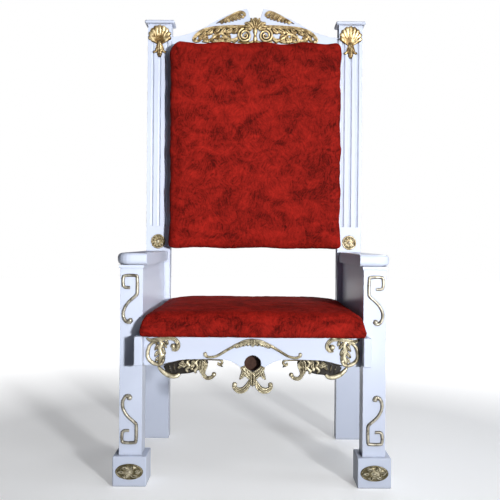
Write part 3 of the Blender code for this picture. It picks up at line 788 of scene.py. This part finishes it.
def hanging_scroll():
    """A heavy curl, a dark web of painted shade with leaves on it, and two hooks at the inner end.
    """
    strokes = [
        rod([(46, -104, 4), (55, -116, 7.0), (72, -130, 8.4), (92, -137, 8.6), (108, -136, 7.6),
             (117, -128, 5.2)]),
        rod([(64, -99, 2.6), (92, -89, 3.2), (126, -82, 3.4), (165, -80, 3.6), (205, -80, 4.4),
             (232, -80, 5.0), (252, -82, 5.0), (258, -91, 4.8), (250, -99, 4.4),
             (242, -95, 4.0)]),
        band([(196, -86, 7), (204, -98, 7.4), (198, -114, 7.4), (196, -130, 7.2),
              (206, -142, 7.0), (221, -141, 6.6), (231, -132, 6.0)]),
        ball(231, -130, 8.0),
        leaf(243, -90, -60, 24, 9, 20), leaf(82, -103, -70, 26, 6), leaf(98, -98, -82, 30, 6)]
    strokes += [
        rod([(152, -80, 4), (142, -90, 6.0), (149, -103, 6.6), (139, -114, 5.6), (146, -124, 3.5)]),
        rod([(181, -80, 4), (170, -92, 6.4), (178, -105, 6.8), (168, -117, 6.0), (172, -127, 3.5)]),
        leaf(116, -93, -38, 34, 17, 34), leaf(128, -84, -96, 38, 13, -30),
        leaf(192, -84, -112, 50, 19, 24), leaf(160, -84, -60, 34, 16, -50)]
    for x, z, radius in ((132, -104, 6.0), (158, -112, 6.5), (188, -100, 6.5), (187, -117, 5.5)):
        strokes.append(ball(x, z, radius))
    return strokes


# Painted shade: a dark sheet behind the hanging scroll's leaves, where shade shows between them
HANGING_WEB = (
    (63, -105), (71, -120), (89, -136), (109, -140), (123, -130), (147, -128), (171, -122),
    (191, -110), (213, -92), (209, -82), (166, -80), (120, -84), (97, -91), (75, -98))
HANGING_WEB_FRONT = 0.8
HANGING_WEB_BACK = -2.0


def hanging_ground(bm, to_world):
    """The thin recessed web behind the hanging scroll's leaves: a dark sheet of painted shade."""
    web(bm, HANGING_WEB, HANGING_WEB_FRONT, HANGING_WEB_BACK, to_world)


def pendant():
    strokes = []
    for way in (-1, 1):
        strokes.append(("leaf", smooth_route([
            (way * 38, -10, 4), (way * 30, -22, 8.0), (way * 16, -36, 9.5), (way * 3, -50, 7)])))
        strokes.append(leaf(way * 27, -18, -90 + way * 10, 38, 18, way * 16))
        strokes.append(("leaf", smooth_route([
            (way * 30, -6, 3), (way * 23, -17, 6.0), (way * 12, -26, 7.0), (0, -33, 6)])))
        strokes.append(band([
            (way * 2, -44, 6), (way * 12, -64, 8.0), (way * 26, -83, 10.5), (way * 44, -88, 10.5),
            (way * 58, -80, 8.0), (way * 62, -70, 6.0)]))
        strokes.append(ball(way * 59, -68, 8.5))
    strokes.append(leaf(0, -30, -90, 46, 22))
    return strokes


def neck_leaf():
    strokes = [band([(-163, -62, 1.6), (-138, -50, 5.0), (-108, -35, 6.8), (-80, -21, 7.6),
                     (-60, -15, 7.4), (-46, -21, 6.4), (-45, -32, 5.5)]), ball(-52, -34, 7.0)]
    for x, z, length in ((-142, -53, 13), (-130, -47, 17), (-118, -41, 21), (-106, -35, 25),
                         (-94, -29, 28), (-82, -24, 30), (-70, -20, 28)):
        strokes.append(leaf(x, z, -62, length, width=15, bend=16))
    return strokes


CREST_LEAF_LONGER = 1.08
CREST_LEAF_WIDER = 1.22
CREST_LEAF_BEND = 16


def crest():
    """A domed band over two volutes and a wandering stem thick with leaves, and a leafy finial."""
    strokes = []
    for way in (-1, 1):
        half = [
            band([(20, 46, 6), (60, 44, 8.0), (113, 42, 8.4), (174, 37, 8.4), (217, 26, 8.0),
                  (243, 8, 7.8), (256, -10, 7.0), (250, -21, 5.5)]),
            ball(247, -17, 8.5),
            ("ridge", spiral(43, 7, 29, 8, 80, -1.9, 5.6, 4.2)), ball(43, 7, 6.5),
            rod([(68, 2, 6.5), (92, -13, 7.0), (118, -2, 6.5), (142, 14, 6.0), (168, 2, 6.0),
                 (190, -13, 5.8), (212, -4, 5.4), (226, 6, 5.0)]),
            leaf(10, 34, 56, 42, 27, -10), leaf(14, 34, 22, 40, 25, -20),
            leaf(5, 38, 78, 46, 22, -6), leaf(18, 37, 0, 30, 18, -24),
            ball(58, 36, 8.0), ball(38, 58, 7.0), ball(24, 62, 6.0),
            ("band", spiral(112, 0, 15, 4, 200, 1.3, 5.4, 4.2)),
            ("band", spiral(160, 6, 14, 4, 20, -1.3, 5.2, 4.0)),
            ("band", spiral(204, -4, 12, 3, 200, 1.3, 4.8, 3.8)),
            leaf(72, -8, -20, 34, 16, 20), leaf(112, -20, 10, 34, 14, -20),
            leaf(150, -18, 8, 34, 14, -16), leaf(190, -20, 14, 34, 13, -16),
            leaf(226, -12, -30, 26, 12, 10)]
        for x, z, angle, length, width in (
                (72, 36, -50, 30, 24), (96, 34, -40, 34, 24), (126, 34, -60, 30, 24),
                (150, 34, -50, 28, 22), (178, 30, -50, 32, 22), (206, 22, -62, 28, 20),
                (232, 6, -110, 22, 16), (78, -6, -60, 22, 20), (100, -10, -30, 28, 20),
                (132, 4, -80, 28, 22), (148, -2, -100, 22, 20), (176, 0, -80, 22, 19),
                (196, -14, 10, 26, 18), (222, 2, -60, 24, 16)):
            half += acanthus(x, z, angle, length * CREST_LEAF_LONGER, width * CREST_LEAF_WIDER,
                             CREST_LEAF_BEND)
        for style, route in half:
            strokes.append((style, [(way * x, z, r) for x, z, r in route]))
        strokes.append(rod([(way * 4, -16, 5), (way * 34, -24, 5.4), (way * 72, -19, 5.0)]))
    strokes += acanthus(0, 32, 90, 52, 27)
    strokes.append(rod([(0, 38, 8), (0, 24, 9.5), (0, 8, 6), (0, -6, 8), (0, -22, 5)]))
    strokes += acanthus(0, 2, -90, 30, 24)
    return strokes


# Painted shade: a dark sheet filling the gaps under the crest's band
CREST_WEB = ((52, 40), (112, 37), (172, 32), (213, 21), (238, 2), (226, -4), (204, 8), (170, 16),
             (120, 16), (76, 14))
CREST_WEB_FRONT = 1.0


def crest_ground(bm, to_world):
    """The thin dark web between the crest's band and its row of leaves: a sheet of painted shade."""
    for way in (-1, 1):
        web(bm, [(way * x, z) for x, z in CREST_WEB], CREST_WEB_FRONT, -SINK, to_world)


RING_SIDES = 48
INNER_RING_SIDES = 30
INNER_RING = 0.34
INNER_RING_HALF = 2.4
PETAL_FROM = 0.40
PETAL_LENGTH = 0.52
PETAL_FULLNESS = 3.0
PETAL_BEND = 36


def rosette(radius, petals, ring_half):
    """A rim, a ring of petals and a smaller ring for the button."""
    rim = spiral(0, 0, radius - ring_half, radius - ring_half, 0, 1.0, ring_half, ring_half,
                 RING_SIDES)
    inner = spiral(0, 0, radius * INNER_RING, radius * INNER_RING, 0, 1.0, INNER_RING_HALF,
                   INNER_RING_HALF, INNER_RING_SIDES)
    strokes = [("rod", rim), ("rod", inner)]
    for i in range(petals):
        angle = 360 * i / petals
        turn = math.radians(angle)
        strokes.append(leaf(radius * PETAL_FROM * math.cos(turn),
                            radius * PETAL_FROM * math.sin(turn), angle, radius * PETAL_LENGTH,
                            radius * PETAL_FULLNESS / petals, PETAL_BEND))
    return strokes


def disc_ground(radius, thickness):
    def build(bm, to_world):
        dome(bm, 0, 0, radius, thickness, to_world)
    return build


# One gilding in lit and shaded copies: painted shade dulls and darkens it for the apron, legs and
# feet, and painted light pales it for the rosettes
GOLD_TONES = ((0.018, 0.010, 0.004), (0.205, 0.122, 0.040), (0.84, 0.68, 0.38))
APRON_SHADED_TONES = ((0.016, 0.013, 0.010), (0.20, 0.165, 0.095), (0.66, 0.60, 0.43))
LEG_SHADED_TONES = ((0.024, 0.020, 0.016), (0.125, 0.107, 0.080), (0.44, 0.41, 0.33))
FOOT_SHADED_TONES = ((0.060, 0.050, 0.026), (0.155, 0.130, 0.066), (0.58, 0.53, 0.40))
ROSETTE_LIT_TONES = ((0.060, 0.046, 0.022), (0.33, 0.26, 0.135), (0.80, 0.73, 0.54))

# The height at which the gilding on each carrier is full, in metres
BOARD_RELIEF = 0.0085
POST_RELIEF = 0.0080
LEG_RELIEF = 0.0055
FOOT_RELIEF = 0.0070
APRON_RELIEF = 0.0080
# The hanging castings' heights count from over their web, which keeps the web dark as painted shade
WEB_SHADE = 0.0006
# Proportions and, in millimetres, sizes
LEG_FATTEN = 1.28
SHELL_RISE = 0.78
SHELL_GROW = 1.07
CREST_RISE = 1.08
ROSETTE_RADIUS = 30.0
ROSETTE_PETALS = 10
ROSETTE_RIM = 3.6
ROSETTE_GROUND = (28.5, 3.8)
ROSETTE_BUTTON = (0, 0, 8, 10)
MEDALLION_WIDTH = 93
MEDALLION_HEIGHT = 53
MEDALLION_PETALS = 6
MEDALLION_RIM = 2.4
MEDALLION_GROUND = (25.5, 5.2)
MEDALLION_BUTTON = (0, 0, 5, 9)
MEDALLION_RISE = 1.5


def dress_ornaments():
    on_board = gilt_material("gilt_on_board", BOARD_Y, BOARD_RELIEF, *GOLD_TONES)
    on_post = gilt_material("gilt_on_post", POST_FRONT_Y, POST_RELIEF, *GOLD_TONES)
    on_rosette = gilt_material("gilt_on_rosette", POST_FRONT_Y, POST_RELIEF, *ROSETTE_LIT_TONES)
    on_leg = gilt_material("gilt_on_leg", FRONT_Y, LEG_RELIEF, *LEG_SHADED_TONES)
    on_foot = gilt_material("gilt_on_foot", FOOT_FRONT_Y, FOOT_RELIEF, *FOOT_SHADED_TONES)
    on_apron = gilt_material("gilt_on_apron", APRON_Y, APRON_RELIEF, *APRON_SHADED_TONES)
    hanging = gilt_material("gilt_hanging", APRON_Y + HANGING_SETBACK - WEB_SHADE, APRON_RELIEF,
                            *APRON_SHADED_TONES)
    for label, side in SIDES:
        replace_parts(carve(f"upper_leg_scroll_casting_{label}", leg_scroll(), FRONT_Y,
                          (side * LEG_X, UPPER_SCROLL_Z), on_leg, -side,
                          fatten=LEG_FATTEN),
                    f"leg_scroll_upper_{label}")
        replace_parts(carve(f"lower_leg_scroll_casting_{label}", leg_scroll(), FRONT_Y,
                          (side * LEG_X, LOWER_SCROLL_Z), on_leg, -side, -1,
                          fatten=LEG_FATTEN),
                    f"leg_scroll_lower_{label}")
        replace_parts(carve(f"shell_casting_{label}", shell(), POST_FRONT_Y,
                          (side * POST_X, SHELL_TOP_Z), on_post, rise=SHELL_RISE,
                          grow=SHELL_GROW),
                    f"post_shell_{label}")
        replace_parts(carve(f"rosette_casting_{label}",
                          rosette(ROSETTE_RADIUS, ROSETTE_PETALS, ROSETTE_RIM), POST_FRONT_Y,
                          (side * POST_X, ROSETTE_Z), on_rosette, buttons=(ROSETTE_BUTTON,),
                          ground=disc_ground(*ROSETTE_GROUND), voxel=FINE_VOXEL),
                    f"post_rosette_{label}")
        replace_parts(carve(f"medallion_casting_{label}",
                          rosette(MEDALLION_HEIGHT / 2, MEDALLION_PETALS, MEDALLION_RIM),
                          FOOT_FRONT_Y, (side * LEG_X, MEDALLION_Z), on_foot,
                          stretch=MEDALLION_WIDTH / MEDALLION_HEIGHT, rise=MEDALLION_RISE,
                          buttons=(MEDALLION_BUTTON,), ground=disc_ground(*MEDALLION_GROUND),
                          voxel=FINE_VOXEL), f"foot_medallion_{label}")
        corner = (side * CORNER_X, SEAT_TOP_Z)
        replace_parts(carve(f"corner_scroll_casting_{label}", corner_scroll(), APRON_Y, corner,
                          on_apron, -side), f"apron_corner_scroll_{label}")
        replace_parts(carve(f"hanging_scroll_casting_{label}", hanging_scroll(),
                          APRON_Y + HANGING_SETBACK, corner, hanging, -side,
                          ground=hanging_ground), f"hanging_scroll_{label}")
        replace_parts(carve(f"neck_leaf_casting_{label}", neck_leaf(), BOARD_Y,
                          (0.0, NECK_TOP_Z), on_board, -side), f"neck_leaf_{label}")
    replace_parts(carve("arch_scroll_casting", arch_scroll(), APRON_Y, (0.0, SEAT_TOP_Z), on_apron),
                "apron_arch_scroll")
    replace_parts(carve("pendant_casting", pendant(), APRON_Y, (0.0, HOLE_Z), on_apron),
                "pendant_fleur")
    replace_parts(carve("crest_casting", crest(), BOARD_Y, (0.0, SHOULDER_Z), on_board,
                      voxel=CREST_VOXEL, rise=CREST_RISE, ground=crest_ground), "crest_scroll")


# Painted timber
def dress_timber(timber):
    paint = paint_material()
    painted = ["back_board", "rear_rail", "front_apron"]
    for label, _ in SIDES:
        painted += [f"{name}_{label}" for name in (
            "front_leg", "foot_block", "side_panel", "rear_post", "post_cap", "end_block",
            "armrest")]
    for name in painted:
        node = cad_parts[name]
        for slot in node.material_slots:
            slot.material = paint
    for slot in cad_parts["seat_deck"].material_slots:
        slot.material = timber


HOLE_BOARD_RADIUS = 0.036
HOLE_BOARD_THICKNESS = 0.006
HOLE_BOARD_SIDES = 48


def add_hole_board(timber):
    """A small board that closes the apron's hole from behind; its very dark timber is painted shade
    seen through the hole.
    """
    bm = bmesh.new()
    back_y = high("front_apron").y + GAP
    bmesh.ops.create_cone(bm, cap_ends=True, segments=HOLE_BOARD_SIDES,
                          radius1=HOLE_BOARD_RADIUS, radius2=HOLE_BOARD_RADIUS,
                          depth=HOLE_BOARD_THICKNESS)
    bmesh.ops.rotate(bm, verts=bm.verts, matrix=Matrix.Rotation(math.pi / 2, 3, "X"))
    bmesh.ops.translate(bm, verts=bm.verts, vec=(0.0, back_y + HOLE_BOARD_THICKNESS / 2, HOLE_Z))
    add_object("hole_board", bm, timber)


# Cushions
CLOTH_VOXEL = 0.008
CLOTH_FRAMES = 20
CLOTH_PRESSURE = 4.0
CLOTH_QUALITY = 4
CLOTH_STIFFNESS = 12
CLOTH_BENDING = 0.8
BLOCK_SEGMENTS = 5
# The crushed surface: its depth, then the scale and share of its big and small dents
CRUSH_DEPTH = 0.0026
CRUSH_BIG = (14.0, 0.6)
CRUSH_SMALL = (38.0, 0.5)
CRUSH_LEVEL = 0.2


def coordinates(mesh):
    flat = np.empty(len(mesh.vertices) * 3, dtype=np.float32)
    mesh.vertices.foreach_get("co", flat)
    return flat.reshape(-1, 3)


def put_coordinates(mesh, points):
    mesh.vertices.foreach_set("co", points.astype(np.float32).ravel())
    mesh.update()


def remeshed(obj, voxel):
    remesh = obj.modifiers.new("Remesh", "REMESH")
    remesh.mode = "VOXEL"
    remesh.voxel_size = voxel
    return applied(obj)


def rounded_block(name, lo, hi, radius, material):
    bm = bmesh.new()
    bmesh.ops.create_cube(bm, size=1.0)
    bmesh.ops.scale(bm, vec=hi - lo, verts=bm.verts)
    bmesh.ops.translate(bm, vec=(lo + hi) / 2, verts=bm.verts)
    bmesh.ops.bevel(bm, geom=list(bm.edges), offset=radius, segments=BLOCK_SEGMENTS, profile=0.5,
                    affect="EDGES")
    obj = add_object(name, bm, material)
    return remeshed(obj, CLOTH_VOXEL / 2)


def inflate(obj, cap):
    """Blow the cushion up a little as cloth, with no point moving further than the cap."""
    scene = bpy.context.scene
    rest = coordinates(obj.data)
    cloth = obj.modifiers.new("Cloth", "CLOTH")
    settings = cloth.settings
    settings.quality = CLOTH_QUALITY
    settings.use_pressure = True
    settings.uniform_pressure_force = CLOTH_PRESSURE
    settings.effector_weights.gravity = 0.0
    settings.tension_stiffness = CLOTH_STIFFNESS
    settings.compression_stiffness = CLOTH_STIFFNESS
    settings.bending_stiffness = CLOTH_BENDING
    cloth.point_cache.frame_start = 1
    cloth.point_cache.frame_end = CLOTH_FRAMES
    for number in range(1, CLOTH_FRAMES + 1):
        scene.frame_set(number)
    depsgraph = bpy.context.evaluated_depsgraph_get()
    moved = coordinates(obj.evaluated_get(depsgraph).to_mesh())
    obj.evaluated_get(depsgraph).to_mesh_clear()
    obj.modifiers.clear()
    scene.frame_set(1)
    step = moved - rest
    size = np.linalg.norm(step, axis=1, keepdims=True)
    step *= np.minimum(1.0, cap / np.maximum(size, 1e-9))
    put_coordinates(obj.data, rest + step)


def subdivided(obj):
    finer = obj.modifiers.new("Finer", "SUBSURF")
    finer.levels = 1
    finer.render_levels = 1
    applied(obj)
    obj.data.shade_smooth()
    return obj


def crush(obj, seed):
    """Small soft dents and creases all over, along each point's normal."""
    mesh = obj.data
    points = coordinates(mesh)
    normals = np.empty_like(points).ravel()
    mesh.vertices.foreach_get("normal", normals)
    normals = normals.reshape(-1, 3)
    shift = Vector((seed, seed * 2.0, seed * 3.0))
    push = np.empty(len(points), dtype=np.float32)
    for i, point in enumerate(points):
        p = Vector(point.tolist())
        big = noise.noise(p * CRUSH_BIG[0] + shift)
        small = noise.turbulence(p * CRUSH_SMALL[0] + shift, 2, False)
        push[i] = CRUSH_DEPTH * (CRUSH_BIG[1] * big + CRUSH_SMALL[1] * small - CRUSH_LEVEL)
    put_coordinates(mesh, points + normals * push[:, None])


def fit_span(values, lo, hi):
    """The values stretched so that they run exactly from lo to hi."""
    return lo + (values - values.min()) * (hi - lo) / (values.max() - values.min())


def smooth_step(values):
    values = np.clip(values, 0.0, 1.0)
    return values * values * (3.0 - 2.0 * values)


def ripple(values, size, rate, phase):
    return size * np.sin(values * rate + phase)


SEAT_CROWN = 0.018
SEAT_FLARE = 0.006
SEAT_SAG = 0.011
SEAT_SIDE_ROUND = 0.036
SEAT_FRONT_ROUND = 0.070
SEAT_BACK_ROUND = 0.024
SEAT_EDGE_ROUND = 0.010
SEAT_SHOULDER_POWER = 2.4
SEAT_SWELL_ACROSS = 6.0
SEAT_SWELL_ALONG = 2.6
SEAT_SWELL_SHARE = 0.75
SEAT_FREE_FROM = 0.004
SEAT_FREE_LENGTH = 0.030
SEAT_HANG_FROM = 0.010
SEAT_HANG_LENGTH = 0.020
SEAT_INFLATION = 0.007
SEAT_SEED = 3.0


def shape_seat(points, lo, hi):
    """Wide round shoulders at the sides and front, over a nearly square bottom edge."""
    middle, half = (lo + hi) / 2, (hi - lo) / 2
    height = np.clip((points[:, 2] - lo.z) / (hi.z - lo.z), 0.0, 1.0)
    pull = 1.0 - (1.0 - height ** SEAT_SHOULDER_POWER) ** (1 / SEAT_SHOULDER_POWER)
    across = (points[:, 0] - middle.x) / half.x
    along = (points[:, 1] - middle.y) / half.y
    points[:, 0] -= across * SEAT_SIDE_ROUND * pull
    points[:, 1] += np.clip(-along, 0.0, 1.0) * SEAT_FRONT_ROUND * pull
    points[:, 1] -= np.clip(along, 0.0, 1.0) * SEAT_BACK_ROUND * pull
    swell = 1.0 - np.abs(across) ** SEAT_SWELL_ACROSS
    swell *= 1.0 - np.clip(-along, 0.0, 1.0) ** SEAT_SWELL_ALONG
    share = 1.0 - SEAT_SWELL_SHARE + SEAT_SWELL_SHARE * np.clip(swell, 0.0, 1.0)
    points[:, 2] += SEAT_CROWN * height ** 2 * share
    return points


def flare_front(points, lo, hi):
    """The part in front of the legs spreads past their inner edges and sags over the apron."""
    free = smooth_step((FRONT_Y - SEAT_FREE_FROM - points[:, 1]) / SEAT_FREE_LENGTH)
    low_down = 1.0 - smooth_step((points[:, 2] - lo.z) / (hi.z - lo.z))
    reach = 1.0 + SEAT_FLARE * 2 / (hi.x - lo.x) * free * low_down
    points[:, 0] *= reach
    hanging = smooth_step((APRON_Y - SEAT_HANG_FROM - points[:, 1]) / SEAT_HANG_LENGTH)
    points[:, 2] -= SEAT_SAG * hanging * low_down
    return points


def add_seat_cushion(velvet):
    lo, hi = low("seat_cushion"), high("seat_cushion")
    obj = rounded_block("seat_cushion_velvet", lo, hi, SEAT_EDGE_ROUND, velvet)
    put_coordinates(obj.data, shape_seat(coordinates(obj.data), lo, hi))
    remeshed(obj, CLOTH_VOXEL)
    inflate(obj, SEAT_INFLATION)
    subdivided(obj)
    crush(obj, SEAT_SEED)
    points = coordinates(obj.data)
    points[:, 0] = fit_span(points[:, 0], lo.x, hi.x)
    points[:, 1] = fit_span(points[:, 1], lo.y, hi.y)
    points[:, 2] = fit_span(points[:, 2], lo.z, hi.z + SEAT_CROWN)
    put_coordinates(obj.data, flare_front(points, lo, hi))
    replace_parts(obj, "seat_cushion")


BACK_TOP_SWELL = 0.018
BACK_LEFT_SWELL = 0.009
BACK_RIGHT_SWELL = 0.015
BACK_FRONT_SWELL = 0.006
BACK_BOTTOM_SWELL = 0.003
BACK_EDGE_ROUND = 0.022
BACK_INFLATION = 0.010
BACK_SEED = 7.0
BACK_WAVE = 0.0040
BACK_WAVE_LENGTH = 0.170
BACK_WAVE_PHASE = 0.4
BACK_TOP_FROM = 0.90
BACK_BOTTOM_TO = 0.10
BACK_BLEND = 10.0
# Ripples as size, rate and phase
BACK_SAG = (0.0016, 26.0, 1.0)
BACK_SIDE_WAVES = ((0.0016, 33.0, 0.0), (0.0010, 80.0, 1.0))
BACK_SIDE_INSET = 0.0026
BACK_SIDE_FROM = 0.85
BACK_SIDE_BLEND = 8.0
POST_CLEARANCE = 0.002
CORNER_CUTS = ((-1, 0.040), (1, 0.022))
CORNER_SOFTNESS = 0.008


def cut_corners(points, lo, hi):
    """The upper corners pulled in, the left one further, as in the photograph."""
    for way, cut in CORNER_CUTS:
        edge_x = lo.x - BACK_LEFT_SWELL if way < 0 else hi.x + BACK_RIGHT_SWELL
        near = np.abs(points[:, 0] - edge_x) + hi.z + BACK_TOP_SWELL - points[:, 2]
        pull = np.logaddexp(0.0, (cut - near) / CORNER_SOFTNESS) * CORNER_SOFTNESS / 2
        points[:, 0] -= way * pull
        points[:, 2] -= pull
    return points


def add_back_cushion(velvet):
    lo, hi = low("back_cushion"), high("back_cushion")
    obj = rounded_block("back_cushion_velvet", lo, hi, BACK_EDGE_ROUND, velvet)
    remeshed(obj, CLOTH_VOXEL)
    inflate(obj, BACK_INFLATION)
    subdivided(obj)
    crush(obj, BACK_SEED)
    points = coordinates(obj.data)
    points[:, 0] = fit_span(points[:, 0], lo.x - BACK_LEFT_SWELL, hi.x + BACK_RIGHT_SWELL)
    points[:, 1] = fit_span(points[:, 1], lo.y - BACK_FRONT_SWELL, hi.y)
    points[:, 2] = fit_span(points[:, 2], lo.z - BACK_BOTTOM_SWELL, hi.z + BACK_TOP_SWELL)
    up = (points[:, 2] - lo.z) / (hi.z - lo.z)
    turns = points[:, 0] / BACK_WAVE_LENGTH
    wave = BACK_WAVE * np.sin(2 * math.pi * turns + BACK_WAVE_PHASE) - BACK_WAVE
    points[:, 2] += wave * smooth_step((up - BACK_TOP_FROM) * BACK_BLEND)
    sag = ripple(points[:, 0], *BACK_SAG)
    points[:, 2] += sag * smooth_step((BACK_BOTTOM_TO - up) * BACK_BLEND)
    side_wave = sum(ripple(points[:, 2], *values) for values in BACK_SIDE_WAVES)
    outer = smooth_step((np.abs(points[:, 0]) / hi.x - BACK_SIDE_FROM) * BACK_SIDE_BLEND)
    points[:, 0] += np.sign(points[:, 0]) * (side_wave - BACK_SIDE_INSET) * outer
    points = cut_corners(points, lo, hi)
    beside_post = points[:, 1] > POST_FRONT_Y - POST_CLEARANCE
    inner = low("rear_post_right").x - GAP * 2
    points[beside_post, 0] = np.clip(points[beside_post, 0], -inner, inner)
    put_coordinates(obj.data, points)
    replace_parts(obj, "back_cushion")


add_camera()
add_studio()
timber = timber_material()
dress_timber(timber)
add_hole_board(timber)
dress_ornaments()
velvet = velvet_material()
add_seat_cushion(velvet)
add_back_cushion(velvet)
